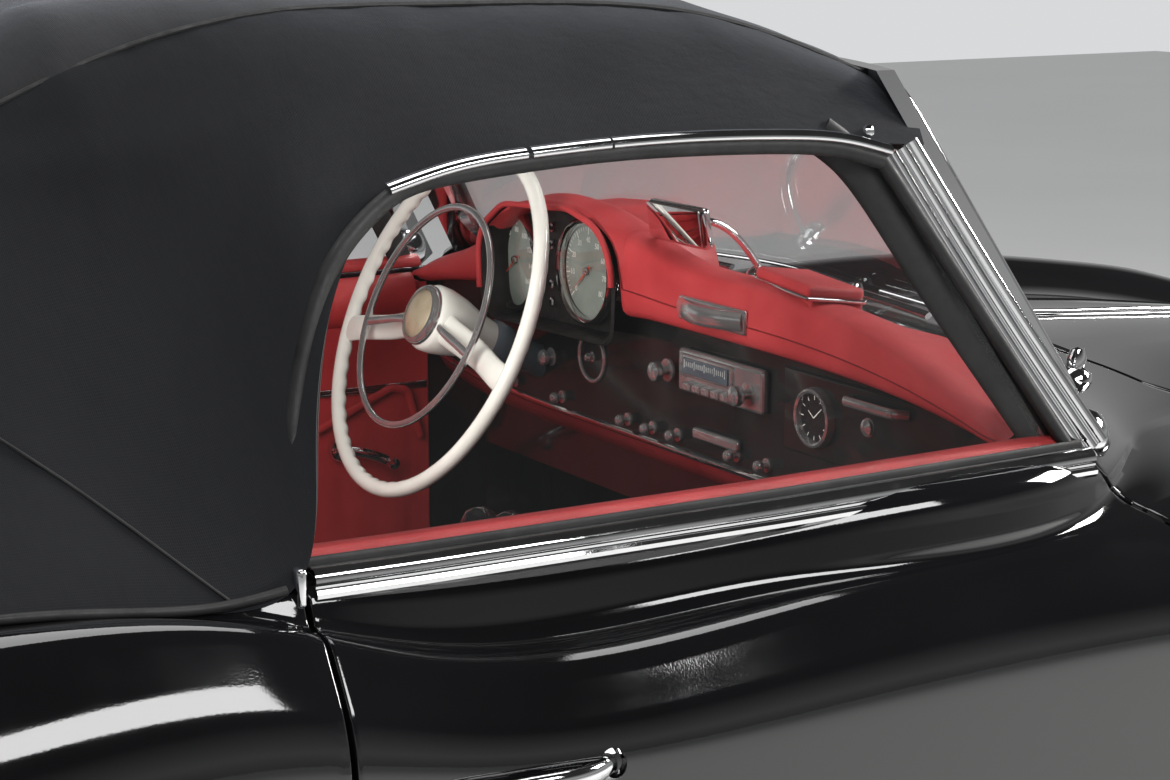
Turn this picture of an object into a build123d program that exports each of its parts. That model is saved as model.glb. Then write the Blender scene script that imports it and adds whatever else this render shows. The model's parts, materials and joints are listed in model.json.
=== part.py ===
from build123d import *
from math import atan2, cos, hypot, radians, sin
import os

# 1950s two-seat convertible car with its soft top up, left-hand drive.
# Frame: +X forward, +Y to the car's left, +Z up, millimetres.
# Origin: bottom centre of the overall box, on the ground.

# Overall and running gear
LENGTH = 4290.0            # over the bumpers
HALF_LENGTH = LENGTH / 2
FRONT_AXLE_X = 1385.0
REAR_AXLE_X = -1015.0      # wheelbase 2400
FRONT_TRACK = 1430.0
REAR_TRACK = 1475.0
TYRE_R = 320.0
TYRE_WIDTH = 165.0
RIM_R = 165.0              # bead seat of a 13 inch rim
KINGPIN_Y = 645.0
KINGPIN_R = 12.0
SPINDLE_R = 15.0
RUNNING_FIT = 0.05         # radial clearance of pins and shafts in their bores

# Body shell
GAP = 5.0                  # shut lines
SKIN = 25.0                # bonnet and boot lid thickness
CABIN_HALF = 700.0         # inner face of doors and quarters
CABIN_REAR = -800.0
DASH_X = 520.0             # front of the cabin above the footwell
FOOT_X = 900.0
FLOOR_TOP = 260.0
SILL_TOP = 317.0
DOOR_REAR_X = -372.0
DOOR_FRONT_X = 560.0
DOOR_BEND_Z = 800.0        # where the door's front edge turns back to the screen pillar
DOOR_TOP_FRONT_X = 482.0
BELT_Z = 884.0
HINGE_X = DOOR_FRONT_X - 40.0
HINGE_Y = 815.0
HINGE_RELIEF = 66.0
HINGE_PIN_R = 5.0
DOOR_HINGE_Z = (400.0, 660.0)

# Bonnet and boot lid
BONNET_REAR_X = 885.0
BONNET_FRONT_X = 1960.0
BONNET_REAR_HALF = 430.0
BONNET_FRONT_HALF = 300.0
LID_FRONT_X = -1005.0
LID_REAR_X = -1985.0
LID_FRONT_HALF = 470.0
LID_REAR_HALF = 350.0
LEDGE = 20.0               # width of the drip ledge around a lid
HINGE_BACK = 130.0         # lid hinge axis behind its gap
HINGE_DEPTH = 32.0         # lid hinge axis below the outer surface
ARM_Y = 250.0              # lid hinge arms each side of the centreline

# Wheel arches
FRONT_ARCH_R = 362.0
FRONT_ARCH_Y = 465.0
REAR_ARCH_R = 350.0
REAR_ARCH_Y = 560.0
ARCH_Z = 330.0
BAY_HALF = 400.0

# Screen, side glass and soft top
SCREEN_BASE_X = 700.0
SCREEN_CORNER_X = 552.0
SCREEN_CORNER_Y = 688.0
SCREEN_BASE_Z = 880.0
SCREEN_TOP_Z = 1262.0
SCREEN_TOP_X = 450.0
SCREEN_TOP_CORNER_X = 330.0
SCREEN_TOP_CORNER_Y = 618.0
FRAME_THICK = 22.0
GLASS_THICK = 6.0
GLASS_SINK = 30.0          # door glass below the belt line
FIT = 0.3                  # glass and soft solids to their neighbours
GLASS_FOOT_Y = 738.0
GLASS_TOP_Y = 642.0
GLASS_TOP_Z = 1197.0
ROOF_Z = 1347.0
FABRIC = 12.0

# Steering wheel
HUB = (322.0, 368.0, 870.0)
COLUMN_TILT = 23.5
WHEEL_R = 235.0
GRIP_R = 10.5
HUB_R = 46.0
HORN_R = 152.0
HORN_LIFT = 19.0           # horn ring in front of the rim's plane
SPOKE_ANGLES = (-17.0, 197.0)
SPINDLE_R_IN_COLUMN = 9.0
COLUMN_R = 24.0

# Dashboard
DASH_FACE_X = 478.0
PAD_REAR_X = 446.0         # the padded roll overhangs the face
PAD_LOW = 903.0
DASH_HALF = 680.0
DASH_LOW = 738.0
GAUGE_YS = (230.0, 415.0)
GAUGE_Z = 936.0
GAUGE_R = 69.0
HOOD_R = 84.0
HOOD_REAR_X = 430.0
RADIO_Y = -75.0
RADIO_HALF = 100.0
LID_THICK = 14.0
GLOVE_LEFT = -225.0
GLOVE_RIGHT = -600.0
GLOVE_LOW = 790.0
GLOVE_HIGH = 893.0
GLOVE_PIN_R = 3.0
GLOVE_AXIS = (DASH_FACE_X + LID_THICK / 2, GLOVE_LOW + LID_THICK / 2)
GAUGE_BACK_X = DASH_FACE_X - 8
DASH_RADII = [6, 2, 2, 10, 20, 20, 12, 12, 8, 3]
GLOVE_HANDLE_YS = (-395.0, -335.0)
CLOCK_PLACE = (-275.0, 842.0)
CLOCK_R = 31.0

SEAT_YS = (-370.0, 370.0)

# Underbody
TUNNEL_HALF = 110.0
TUNNEL_TOP = 385.0
CHANNEL_HALF = 78.0
CHANNEL_TOP = 350.0
AXLE_WELL_FRONT = -830.0
AXLE_WELL_REAR = -1200.0
AXLE_WELL_TOP = 470.0
BAY_FRONT = 1900.0
BAY_REAR = 960.0
BAY_TOP = 600.0
BOOT_FLOOR = 490.0
BOOT_FRONT = -840.0
BOOT_REAR = -1960.0
BOOT_HALF = 540.0
REAR_FLOOR_END = -810.0    # the floor pan ends behind the cabin
WELL_DEPTH = 150.0
SCUTTLE_SKIN = 9.0
SHAFT_Z = 280.0
DIFF_R = 125.0
PIPE_Y = 330.0
PIPE_Z = 178.0
PIPE_R = 22.0
WING_SPLIT_Y = 432.0       # the front wings are bolted on outboard of the bay

# Grille and lamps
GRILLE_HALF = 330.0
GRILLE_LOW = 375.0
GRILLE_HIGH = 545.0
GRILLE_BARS = 5
LAMP_X = 1988.0
LAMP_Y = 592.0
LAMP_Z = 655.0
LAMP_R = 96.0

# Lid hinge arms
ARM_THICK = 12.0
ARM_WIDTH = 14.0
BOSS_R = 10.0

# Sections of the outer shell, rear to front. Each row is x, then y and z of the half section's
# corners: sill, low flank, upper flank, wing crown, valley, deck shoulder, then z on the centreline.
SECTIONS = [
    (-2058, (390, 345), (455, 395), (470, 470), (425, 540), (345, 556), (240, 566), 574),
    (-2025, (480, 300), (590, 360), (620, 480), (540, 590), (425, 604), (320, 618), 634),
    (-1935, (560, 270), (700, 340), (730, 520), (605, 662), (475, 650), (350, 672), 700),
    (-1750, (600, 250), (780, 330), (808, 600), (655, 748), (515, 716), (400, 750), 780),
    (-1400, (650, 230), (836, 320), (860, 690), (705, 826), (575, 788), (450, 824), 850),
    (-1015, (700, 215), (850, 320), (876, 745), (740, 880), (612, 842), (490, 878), 904),
    (-700, (740, 210), (846, 320), (871, 770), (776, 880), (694, 862), (610, 882), 895),
    (-420, (760, 210), (836, 320), (863, 768), (806, 852), (778, 846), (757, 876), 887),
    (-270, (760, 210), (836, 320), (860, 738), (812, 804), (779, 809), (757, 876), 886),
    (100, (762, 210), (834, 320), (861, 730), (815, 800), (780, 806), (757, 880), 888),
    (480, (760, 210), (838, 320), (866, 748), (802, 816), (768, 824), (748, 884), 894),
    (700, (745, 215), (844, 320), (871, 758), (762, 830), (640, 830), (520, 870), 900),
    (1000, (720, 220), (846, 320), (875, 764), (718, 850), (560, 804), (330, 852), 876),
    (1385, (680, 230), (842, 320), (871, 744), (694, 862), (522, 790), (280, 824), 846),
    (1650, (640, 240), (808, 325), (838, 690), (660, 840), (486, 752), (255, 780), 802),
    (1850, (590, 265), (744, 335), (775, 630), (625, 800), (452, 694), (240, 716), 738),
    (1950, (540, 295), (670, 350), (700, 570), (585, 728), (430, 645), (240, 662), 682),
    (2022, (480, 320), (600, 375), (625, 520), (525, 630), (400, 600), (240, 612), 628),
    (2060, (400, 350), (470, 400), (488, 480), (440, 550), (350, 560), (230, 568), 576),
]
ROUNDNESS = 0.46           # share of the shorter side that each corner's arc takes


def box(x0, x1, y0, y1, z0, z1):
    centre = Pos((x0 + x1) / 2, (y0 + y1) / 2, (z0 + z1) / 2)
    return centre * Box(x1 - x0, y1 - y0, z1 - z0)


def slab_xz(points, y0, y1, radius=0.0):
    """Outline in the XZ plane, filled from y0 to y1."""
    plane = Plane(origin=(0, y1, 0), x_dir=(1, 0, 0), z_dir=(0, -1, 0))
    return extrude(plane * outline(points, radius), amount=y1 - y0)


def slab_yz(points, x0, x1, radius=0.0):
    """Outline in the YZ plane, filled from x0 to x1."""
    plane = Plane(origin=(x0, 0, 0), x_dir=(0, 1, 0), z_dir=(1, 0, 0))
    return extrude(plane * outline(points, radius), amount=x1 - x0)


def slab_xy(points, z0, z1, radius=0.0):
    """Outline in plan, filled from z0 to z1."""
    return extrude(Pos(0, 0, z0) * outline(points, radius), amount=z1 - z0)


def outline(points, radius=0.0):
    """Closed face through the points, its corners rounded by one radius or a list of radii."""
    if isinstance(radius, (int, float)) and radius == 0:
        return make_face(Polyline(*points, close=True))
    return make_face(FilletPolyline(*points, radius=radius, close=True))


def rod(start, end, radius):
    """Round bar between two points."""
    a = Vector(*start)
    b = Vector(*end)
    along = b - a
    return extrude(Plane(origin=a, z_dir=along) * Circle(radius), amount=along.length)


def mirror_y(shape):
    return mirror(shape, about=Plane.XZ)


def both(shape):
    return [shape, mirror_y(shape)]


def whole(shape):
    """The largest solid of a cut, without slivers."""
    return max(shape.solids(), key=lambda s: s.volume)


def node(name, *shapes):
    """Write one sub-part with its solids."""
    solids = []
    for shape in shapes:
        for one in shape if isinstance(shape, (list, tuple)) else [shape]:
            solids += one.solids()
    item = solids[0] if len(solids) == 1 else Compound(children=solids)
    item.label = name
    export_step(item, "parts/" + name + ".step")


def section_wire(row):
    """Closed outline of one section: straight runs joined by tangent arcs at every corner."""
    x = row[0]
    half = list(row[1:7]) + [(0.0, row[7])]
    loop = half + [(-y, z) for y, z in reversed(half[:-1])]
    starts = []
    arcs = []
    for i, (y, z) in enumerate(loop):
        before = loop[i - 1]
        after = loop[(i + 1) % len(loop)]
        in_len = hypot(y - before[0], z - before[1])
        out_len = hypot(after[0] - y, after[1] - z)
        in_dir = ((y - before[0]) / in_len, (z - before[1]) / in_len)
        out_dir = ((after[0] - y) / out_len, (after[1] - z) / out_len)
        reach = ROUNDNESS * min(in_len, out_len)
        p = (y - in_dir[0] * reach, z - in_dir[1] * reach)
        q = (y + out_dir[0] * reach, z + out_dir[1] * reach)
        starts.append((p, q))
        arcs.append(in_dir)
    edges = []
    for i, (p, q) in enumerate(starts):
        nxt = starts[(i + 1) % len(starts)][0]
        edges.append(TangentArc((x, *p), (x, *q), tangent=(0, *arcs[i])))
        edges.append(Line((x, *q), (x, *nxt)))
    return Wire(edges)


def outer_shell():
    return Solid.make_loft([section_wire(row) for row in SECTIONS])


HULL = outer_shell()


def lid_plan(rear, front, rear_half, front_half, grow, z0, z1):
    """Plan shape of a lid, rounded at its corners and grown outwards all round."""
    points = [
        (rear - grow, -rear_half - grow),
        (front + grow, -front_half - grow),
        (front + grow, front_half + grow),
        (rear - grow, rear_half + grow),
    ]
    return slab_xy(points, z0, z1, 55.0 + grow)


def bonnet_plan(grow, z0, z1):
    return lid_plan(BONNET_REAR_X, BONNET_FRONT_X, BONNET_REAR_HALF, BONNET_FRONT_HALF, grow, z0, z1)


def boot_plan(grow, z0, z1):
    return lid_plan(LID_REAR_X, LID_FRONT_X, LID_REAR_HALF, LID_FRONT_HALF, grow, z0, z1)


def hull_top_z(x):
    """Height of the shell on the centreline, between the sections beside x."""
    for a, b in zip(SECTIONS, SECTIONS[1:]):
        if a[0] <= x <= b[0]:
            return a[7] + (b[7] - a[7]) * (x - a[0]) / (b[0] - a[0])
    return SECTIONS[-1][7]


BONNET_AXIS_X = BONNET_REAR_X - HINGE_BACK
BONNET_AXIS_Z = hull_top_z(BONNET_REAR_X) - HINGE_DEPTH
LID_AXIS_X = LID_FRONT_X + HINGE_BACK
LID_AXIS_Z = hull_top_z(LID_FRONT_X) - HINGE_DEPTH
def gooseneck(axis_x, axis_z, way, y):
    """Lid hinge arm: a boss at the axis, down, along and up to the lid's underside."""
    path = [(0, 0), (6, -125), (112, -132), (166, -62), (172, 2)]
    points = [(axis_x + way * u, axis_z + w) for u, w in path]
    line = FilletPolyline(*points, radius=30)
    plane = Plane(origin=(0, y + ARM_THICK / 2, 0), x_dir=(1, 0, 0), z_dir=(0, -1, 0))
    arm = extrude(plane * trace(line, ARM_WIDTH), amount=ARM_THICK)
    boss = rod((axis_x, y - ARM_THICK / 2, axis_z), (axis_x, y + ARM_THICK / 2, axis_z), BOSS_R)
    return arm + boss


def hinge_bracket(axis_x, axis_z, y, depth):
    """Pin across the boss, held by two cheeks that stand on the well's floor."""
    cheeks = []
    for side in (-1, 1):
        mid = y + side * (ARM_THICK / 2 + GAP + 5)
        cheek = box(axis_x - 14, axis_x + 14, mid - 5, mid + 5, axis_z - depth, axis_z)
        cheek += rod((axis_x, mid - 5, axis_z), (axis_x, mid + 5, axis_z), 14)
        cheeks.append(cheek)
    pin = rod((axis_x, y - 22, axis_z), (axis_x, y + 22, axis_z), HINGE_PIN_R)
    return pin + cheeks[0] + cheeks[1]


def door_outline(grow):
    """Side view of a door, with its diagonal cut to the screen pillar, grown by the shut gap."""
    return [
        (DOOR_REAR_X - grow, SILL_TOP + GAP - grow),
        (DOOR_FRONT_X + grow, SILL_TOP + GAP - grow),
        (DOOR_FRONT_X + grow, DOOR_BEND_Z + grow / 2),
        (DOOR_TOP_FRONT_X + grow, BELT_Z + 4),
        (DOOR_TOP_FRONT_X + grow, BELT_Z + 300),
        (DOOR_REAR_X - grow, BELT_Z + 300),
    ]


def wheel_wells():
    wells = []
    arches = ((FRONT_AXLE_X, FRONT_ARCH_R, FRONT_ARCH_Y), (REAR_AXLE_X, REAR_ARCH_R, REAR_ARCH_Y))
    for x, radius, inner in arches:
        well = rod((x, inner, ARCH_Z), (x, 950, ARCH_Z), radius)
        well += box(x - radius, x + radius, inner, 950, 0, ARCH_Z)
        wells += both(well)
    return wells


def cabin_space():
    main = box(CABIN_REAR, DASH_X, -CABIN_HALF, CABIN_HALF, FLOOR_TOP, 1300)
    foot = box(DASH_X - 1, FOOT_X, -600, 600, FLOOR_TOP, 640)
    tunnel = box(CABIN_REAR - 1, FOOT_X + 1, -TUNNEL_HALF, TUNNEL_HALF, 0, TUNNEL_TOP)
    return main + foot - tunnel


def body_shell():
    """The shell with every hollow and opening cut, before it is split into its welded parts."""
    shell = HULL - cabin_space()
    shell -= box(AXLE_WELL_FRONT - 1, BAY_REAR + 1, -CHANNEL_HALF, CHANNEL_HALF, 0, CHANNEL_TOP)
    shell -= box(AXLE_WELL_REAR, AXLE_WELL_FRONT, -REAR_ARCH_Y - 1, REAR_ARCH_Y + 1, 0, AXLE_WELL_TOP)
    for well in wheel_wells():
        shell -= well
    for side in both(slab_xz(door_outline(GAP), CABIN_HALF - 1, 950)):
        shell -= side
    for side in both(rod((HINGE_X, HINGE_Y, SILL_TOP), (HINGE_X, HINGE_Y, DOOR_BEND_Z), HINGE_RELIEF)):
        shell -= side
    lowered = HULL.moved(Pos(0, 0, -SKIN - GAP))
    shell -= bonnet_plan(GAP, 500, 1100) - lowered
    shell -= boot_plan(GAP, 400, 1100) - lowered
    under_skin = HULL.moved(Pos(0, 0, -SCUTTLE_SKIN))
    shell -= bonnet_plan(-LEDGE, BONNET_AXIS_Z - WELL_DEPTH, 1100)
    shell -= bonnet_plan(-LEDGE, BAY_TOP - 10, 1100) & box(BAY_REAR, 2200, -900, 900, 0, 1100)
    shell -= box(BAY_REAR, BAY_FRONT, -BAY_HALF, BAY_HALF, 0, BAY_TOP)
    scuttle_well = box(BONNET_AXIS_X - 25, BONNET_REAR_X + 60, -330, 330, BONNET_AXIS_Z - WELL_DEPTH, 1000)
    shell -= scuttle_well & under_skin
    boot = box(BOOT_REAR, BOOT_FRONT, -BOOT_HALF, BOOT_HALF, BOOT_FLOOR, 1000)
    shell -= boot & under_skin & HULL.moved(Pos(60, 0, -SKIN))
    lid_well = box(LID_FRONT_X - 40, LID_AXIS_X + 25, -330, 330, BOOT_FLOOR, 1000)
    shell -= lid_well & under_skin
    shell -= boot_plan(-LEDGE, 600, 1100)
    shell -= box(BAY_FRONT - 1, 2200, -GRILLE_HALF, GRILLE_HALF, GRILLE_LOW, GRILLE_HIGH)
    for side in both(box(FRONT_AXLE_X - 70, FRONT_AXLE_X + 70, BAY_HALF - 1, FRONT_ARCH_Y + 1, 0, 470)):
        shell -= side
    return shell


def lamp_pod(side):
    """Round housing of a headlamp, faired into the wing."""
    y = side * LAMP_Y
    return rod((LAMP_X - 330, y * 0.98, LAMP_Z), (LAMP_X, y, LAMP_Z), LAMP_R)


def door(shell_door):
    """Left door from its piece of the shell, its inner front edge rounded to swing, with hinge pins."""
    swing = rod((HINGE_X, HINGE_Y, 0), (HINGE_X, HINGE_Y, 1100), HINGE_Y - CABIN_HALF - 1)
    inner_edge = box(HINGE_X, DOOR_FRONT_X + 10, CABIN_HALF - 5, HINGE_Y, 0, 1100)
    shape = whole(shell_door) - (inner_edge - swing)
    for z in DOOR_HINGE_Z:
        shape -= box(HINGE_X - 16, DOOR_FRONT_X + 10, HINGE_Y - 60, HINGE_Y + 22, z - 28, z + 28)
    for z in DOOR_HINGE_Z:
        shape += rod((HINGE_X, HINGE_Y, z - 29), (HINGE_X, HINGE_Y, z + 29), HINGE_PIN_R)
    return shape


def door_hinge_arms():
    """Left front-body arms: each reaches back to the door's pin at 45 degrees."""
    arms = []
    for z in DOOR_HINGE_Z:
        bar = Pos(HINGE_X, HINGE_Y, z) * Rot(0, 0, -45) * box(0, 70, -6, 6, -20, 20)
        bar += rod((HINGE_X, HINGE_Y, z - 20), (HINGE_X, HINGE_Y, z + 20), 12)
        bar -= rod((HINGE_X, HINGE_Y, z - 30), (HINGE_X, HINGE_Y, z + 30), HINGE_PIN_R + RUNNING_FIT)
        arms.append(bar)
    return arms


def arc_strip(back_x, corner_x, corner_y, thick):
    """Plan strip along the arc through the centre point and the two corners."""
    front = ThreePointArc((corner_x, -corner_y), (back_x, 0), (corner_x, corner_y))
    rear = ThreePointArc((corner_x - thick, -corner_y), (back_x - thick, 0), (corner_x - thick, corner_y))
    edges = [front, rear, Line(front @ 0, rear @ 0), Line(front @ 1, rear @ 1)]
    return make_face(edges)


def screen_band(inset, thick):
    """Curved raked band from the screen's base to its header."""
    low = arc_strip(SCREEN_BASE_X - inset, SCREEN_CORNER_X - inset, SCREEN_CORNER_Y, thick)
    high = arc_strip(SCREEN_TOP_X - inset, SCREEN_TOP_CORNER_X - inset, SCREEN_TOP_CORNER_Y, thick)
    return loft([Pos(0, 0, SCREEN_BASE_Z) * low, Pos(0, 0, SCREEN_TOP_Z) * high], ruled=True)


def screen_opening(shrink):
    points = [
        (-SCREEN_CORNER_Y + 44 + shrink, SCREEN_BASE_Z + 46 + shrink),
        (SCREEN_CORNER_Y - 44 - shrink, SCREEN_BASE_Z + 46 + shrink),
        (SCREEN_TOP_CORNER_Y - 32 - shrink, SCREEN_TOP_Z - 26 - shrink),
        (-SCREEN_TOP_CORNER_Y + 32 + shrink, SCREEN_TOP_Z - 26 - shrink),
    ]
    return slab_yz(points, 200, 900, 40.0)


def side_glass():
    """Left door glass: a flat pane leaning in, with its curved upper rear corner."""
    lean = atan2(GLASS_FOOT_Y - GLASS_TOP_Y, GLASS_TOP_Z - BELT_Z)
    scale = 1 / cos(lean)
    corners = [(-364, -GLASS_SINK), (462, -GLASS_SINK), (287, 298), (-40, 315), (-252, 290), (-318, 215)]
    radii = [8, 8, 10, 400, 60, 60]
    points = [(x, h * scale) for x, h in corners]
    plane = Plane(origin=(0, GLASS_FOOT_Y, BELT_Z + 6), x_dir=(1, 0, 0), z_dir=(0, -cos(lean), -sin(lean)))
    return extrude(plane * outline(points, radii), amount=GLASS_THICK)


def roof_side(t):
    """Side view of the soft top, t inside its outer face."""
    arc_front = ThreePointArc((378 - t, 1278 - t), (170, 1330 - t), (-160, ROOF_Z - t))
    arc_rear = ThreePointArc((-160, ROOF_Z - t), (-575 + t * 0.3, 1255 - t * 0.9), (-940 + t, 850))
    base = Polyline((-940 + t, 850), (-940 + t, 700), (378 - t, 700), (378 - t, 1278 - t))
    return make_face([arc_front, arc_rear, *base.edges()])


def roof_front(t):
    """Front view of the soft top, t inside its outer face, with the seam along the shoulders."""
    crown = ThreePointArc((-535 + t * 0.4, 1326 - t), (0, ROOF_Z + 6 - t), (535 - t * 0.4, 1326 - t))
    left = ThreePointArc((535 - t * 0.4, 1326 - t), (654 - t, 1196), (790 - t, 820))
    right = ThreePointArc((-535 + t * 0.4, 1326 - t), (-654 + t, 1196), (-790 + t, 820))
    base = Polyline((790 - t, 820), (790 - t, 680), (-790 + t, 680), (-790 + t, 820))
    return make_face([crown, left, right, *base.edges()])


def roof_plan(t):
    points = [(-905 + t, -820 + t), (500, -820 + t), (500, 820 - t), (-905 + t, 820 - t)]
    return slab_xy(points, 600, 1400, [330.0 - t, 0, 0, 330.0 - t])


def roof_solid(t):
    side_plane = Plane(origin=(0, 900, 0), x_dir=(1, 0, 0), z_dir=(0, -1, 0))
    front_plane = Plane(origin=(-1000, 0, 0), x_dir=(0, 1, 0), z_dir=(1, 0, 0))
    side = extrude(side_plane * roof_side(t), amount=1800)
    front = extrude(front_plane * roof_front(t), amount=1500)
    return side & front & roof_plan(t)


REAR_PANE = ((-330, 1040), (330, 1040), (290, 1215), (-290, 1215))


def soft_top():
    """Fabric shell with its side and rear window openings, standing on the deck and rails."""
    shell = roof_solid(0) - roof_solid(FABRIC)
    shell -= box(-1000, 600, -900, 900, 600, BELT_Z + 4)
    points = [(-366, 700), (700, 700), (700, 900), (DOOR_TOP_FRONT_X, 900), (296, 1190), (-40, 1206)]
    points += [(-256, 1182), (-326, 1100), (-374, 880)]
    shell -= slab_xz(points, -900, 900)
    shell -= slab_yz(REAR_PANE, -1000, -300, 50.0)
    return whole(shell - HULL)


def rear_window():
    pane = roof_solid(3) - roof_solid(3 + GLASS_THICK)
    inner = [(y * 0.999, z) for y, z in REAR_PANE]
    return whole(pane & slab_yz(inner, -1000, -300, 50.0))


def dash_profile():
    """Side view: flat face, padded roll above it, then down to the foot of the screen."""
    back = DASH_X - FIT
    points = [(DASH_FACE_X, DASH_LOW), (back, DASH_LOW), (back, 903), (650, 903), (600, 940)]
    points += [(520, 1002), (PAD_REAR_X + 16, 1006), (PAD_REAR_X, 985), (PAD_REAR_X, PAD_LOW + 12)]
    return points + [(DASH_FACE_X, PAD_LOW)]


def dash_body():
    return slab_xz(dash_profile(), -DASH_HALF, DASH_HALF, DASH_RADII)


def dashboard():
    """Padded dashboard with its gauge hood, glovebox opening and column hole."""
    shape = dash_body()
    front_view = [(-DASH_HALF, 730), (DASH_HALF, 730), (DASH_HALF, 885), (560, 950), (420, 985)]
    front_view += [(-60, 985), (-420, 962), (-560, 925), (-DASH_HALF, 885)]
    shape &= slab_yz(front_view, 400, 700, [5, 5, 50, 90, 90, 90, 90, 90, 50])
    right, left = GAUGE_YS
    hood = box(HOOD_REAR_X, DASH_X, right, left, PAD_LOW, GAUGE_Z + HOOD_R)
    for y in GAUGE_YS:
        hood += rod((HOOD_REAR_X, y, GAUGE_Z), (DASH_X, y, GAUGE_Z), HOOD_R)
    shape += hood & box(HOOD_REAR_X, DASH_X - FIT, -DASH_HALF, DASH_HALF, DASH_LOW, 1100)
    for y in GAUGE_YS:
        shape -= rod((400, y, GAUGE_Z), (GAUGE_BACK_X, y, GAUGE_Z), GAUGE_R + 1)
    lid_front = DASH_FACE_X + LID_THICK + GAP
    shape -= box(DASH_FACE_X - 1, lid_front, *glovebox_span(GAP), GLOVE_LOW - GAP, GLOVE_HIGH + GAP)
    shape -= box(DASH_FACE_X, DASH_X - 8, *glovebox_span(-12), GLOVE_LOW + 10, GLOVE_HIGH - 10)
    shape -= column_axis_rod(COLUMN_R + 1, -20, 420)
    x, z = GLOVE_AXIS
    low, high = glovebox_span(GAP + 14)
    shape -= rod((x, low, z), (x, high, z), GLOVE_PIN_R + RUNNING_FIT)
    return whole(shape - SCREEN_KEEP_OUT)


def glovebox_span(grow):
    return GLOVE_RIGHT - grow, GLOVE_LEFT + grow


def glovebox_lid():
    """Lid with its hinge pin, pull handle and clock boss."""
    face = DASH_FACE_X
    x, z = GLOVE_AXIS
    lid = box(face, face + LID_THICK, *glovebox_span(0), z, GLOVE_HIGH)
    lid += rod((x, GLOVE_RIGHT, z), (x, GLOVE_LEFT, z), LID_THICK / 2)
    low, high = glovebox_span(GAP + 12)
    lid += rod((x, low, z), (x, high, z), GLOVE_PIN_R)
    right, left = GLOVE_HANDLE_YS
    for y in GLOVE_HANDLE_YS:
        lid += rod((face - 10, y, 872), (face, y, 872), 5)
    lid += rod((face - 10, right, 872), (face - 10, left, 872), 5)
    lid += rod((face - 5, *CLOCK_PLACE), (face + 1, *CLOCK_PLACE), CLOCK_R)
    return lid


def instruments():
    """Two gauges on the hood's back wall, and the radio with its knobs on the face."""
    gauges = [rod((GAUGE_BACK_X - 8, y, GAUGE_Z), (GAUGE_BACK_X, y, GAUGE_Z), GAUGE_R) for y in GAUGE_YS]
    radio = box(DASH_FACE_X - 14, DASH_FACE_X, RADIO_Y - RADIO_HALF, RADIO_Y + RADIO_HALF, 808, 868)
    for side in (-1, 1):
        y = RADIO_Y + side * (RADIO_HALF - 22)
        radio += rod((DASH_FACE_X - 32, y, 838), (DASH_FACE_X - 14, y, 838), 12)
    return gauges + [radio]


def column_axis_rod(radius, start, end):
    """Bar along the steering column's axis, from start to end measured forward of the hub."""
    tilt = radians(COLUMN_TILT)
    points = []
    for s in (start, end):
        points.append((HUB[0] + s * cos(tilt), HUB[1], HUB[2] - s * sin(tilt)))
    return rod(points[0], points[1], radius)


def steering_wheel():
    """Rim, two spokes, hub, horn ring and spindle about the tilted column axis."""
    wheel = Torus(WHEEL_R, GRIP_R) + Pos(0, 0, 4) * Cylinder(HUB_R, HUB_R)
    ring = Pos(0, 0, HORN_LIFT) * Rot(0, 0, 45) * Torus(HORN_R, 4.5)
    for angle in SPOKE_ANGLES:
        wheel += Rot(0, 0, angle) * Pos(WHEEL_R / 2 + 8, 0, 0) * Box(WHEEL_R - 14, 34, 12)
        ring += Rot(0, 0, angle) * Pos(HORN_R / 2, 0, HORN_LIFT) * Box(HORN_R, 8, 6)
    wheel += ring
    wheel += Pos(0, 0, -60) * Cylinder(SPINDLE_R_IN_COLUMN, 90)
    tilt = radians(COLUMN_TILT)
    place = Plane(origin=HUB, z_dir=(-cos(tilt), 0, sin(tilt)), x_dir=(0, 1, 0))
    return place.location * wheel


def steering_column():
    bore = column_axis_rod(SPINDLE_R_IN_COLUMN + RUNNING_FIT, 0, 120)
    tube = column_axis_rod(COLUMN_R, 24, 420) - bore
    return whole(tube & box(200, DASH_X - FIT, 0, 700, 500, 1000))


def seat_cushion(y):
    shape = box(-430, 90, y - 250, y + 250, 400, 520)
    return fillet(shape.edges(), 28)


def seat_back(y):
    points = [(-435, 520 + FIT), (-300, 520 + FIT), (-405, 930), (-500, 930)]
    shape = slab_xz(points, y - 250, y + 250)
    return fillet(shape.edges(), 26)


def seat_frame(y):
    """Runners and posts that carry a cushion on the floor."""
    parts = []
    for side in (-1, 1):
        at = y + side * 190
        parts.append(box(-400, 60, at - 18, at + 18, FLOOR_TOP, FLOOR_TOP + 30))
        parts.append(box(-380, -340, at - 12, at + 12, FLOOR_TOP + 30, 400 - FIT))
        parts.append(box(0, 40, at - 12, at + 12, FLOOR_TOP + 30, 400 - FIT))
    return parts


def tyre():
    """Tyre about Y at the origin, with rounded shoulders and a bead on the rim."""
    w = TYRE_WIDTH / 2
    points = [
        (RIM_R, -61), (RIM_R, 61), (RIM_R + 17, 61), (RIM_R + 36, w - 8), (RIM_R + 75, w),
        (TYRE_R - 34, w - 8), (TYRE_R, w - 30), (TYRE_R, -w + 30), (TYRE_R - 34, -w + 8),
        (RIM_R + 75, -w), (RIM_R + 36, -w + 8), (RIM_R + 17, -61),
    ]
    radii = [0, 0, 6, 12, 30, 30, 18, 18, 30, 30, 12, 6]
    return revolve(Plane.XY * outline(points, radii), axis=Axis.Y)


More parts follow.
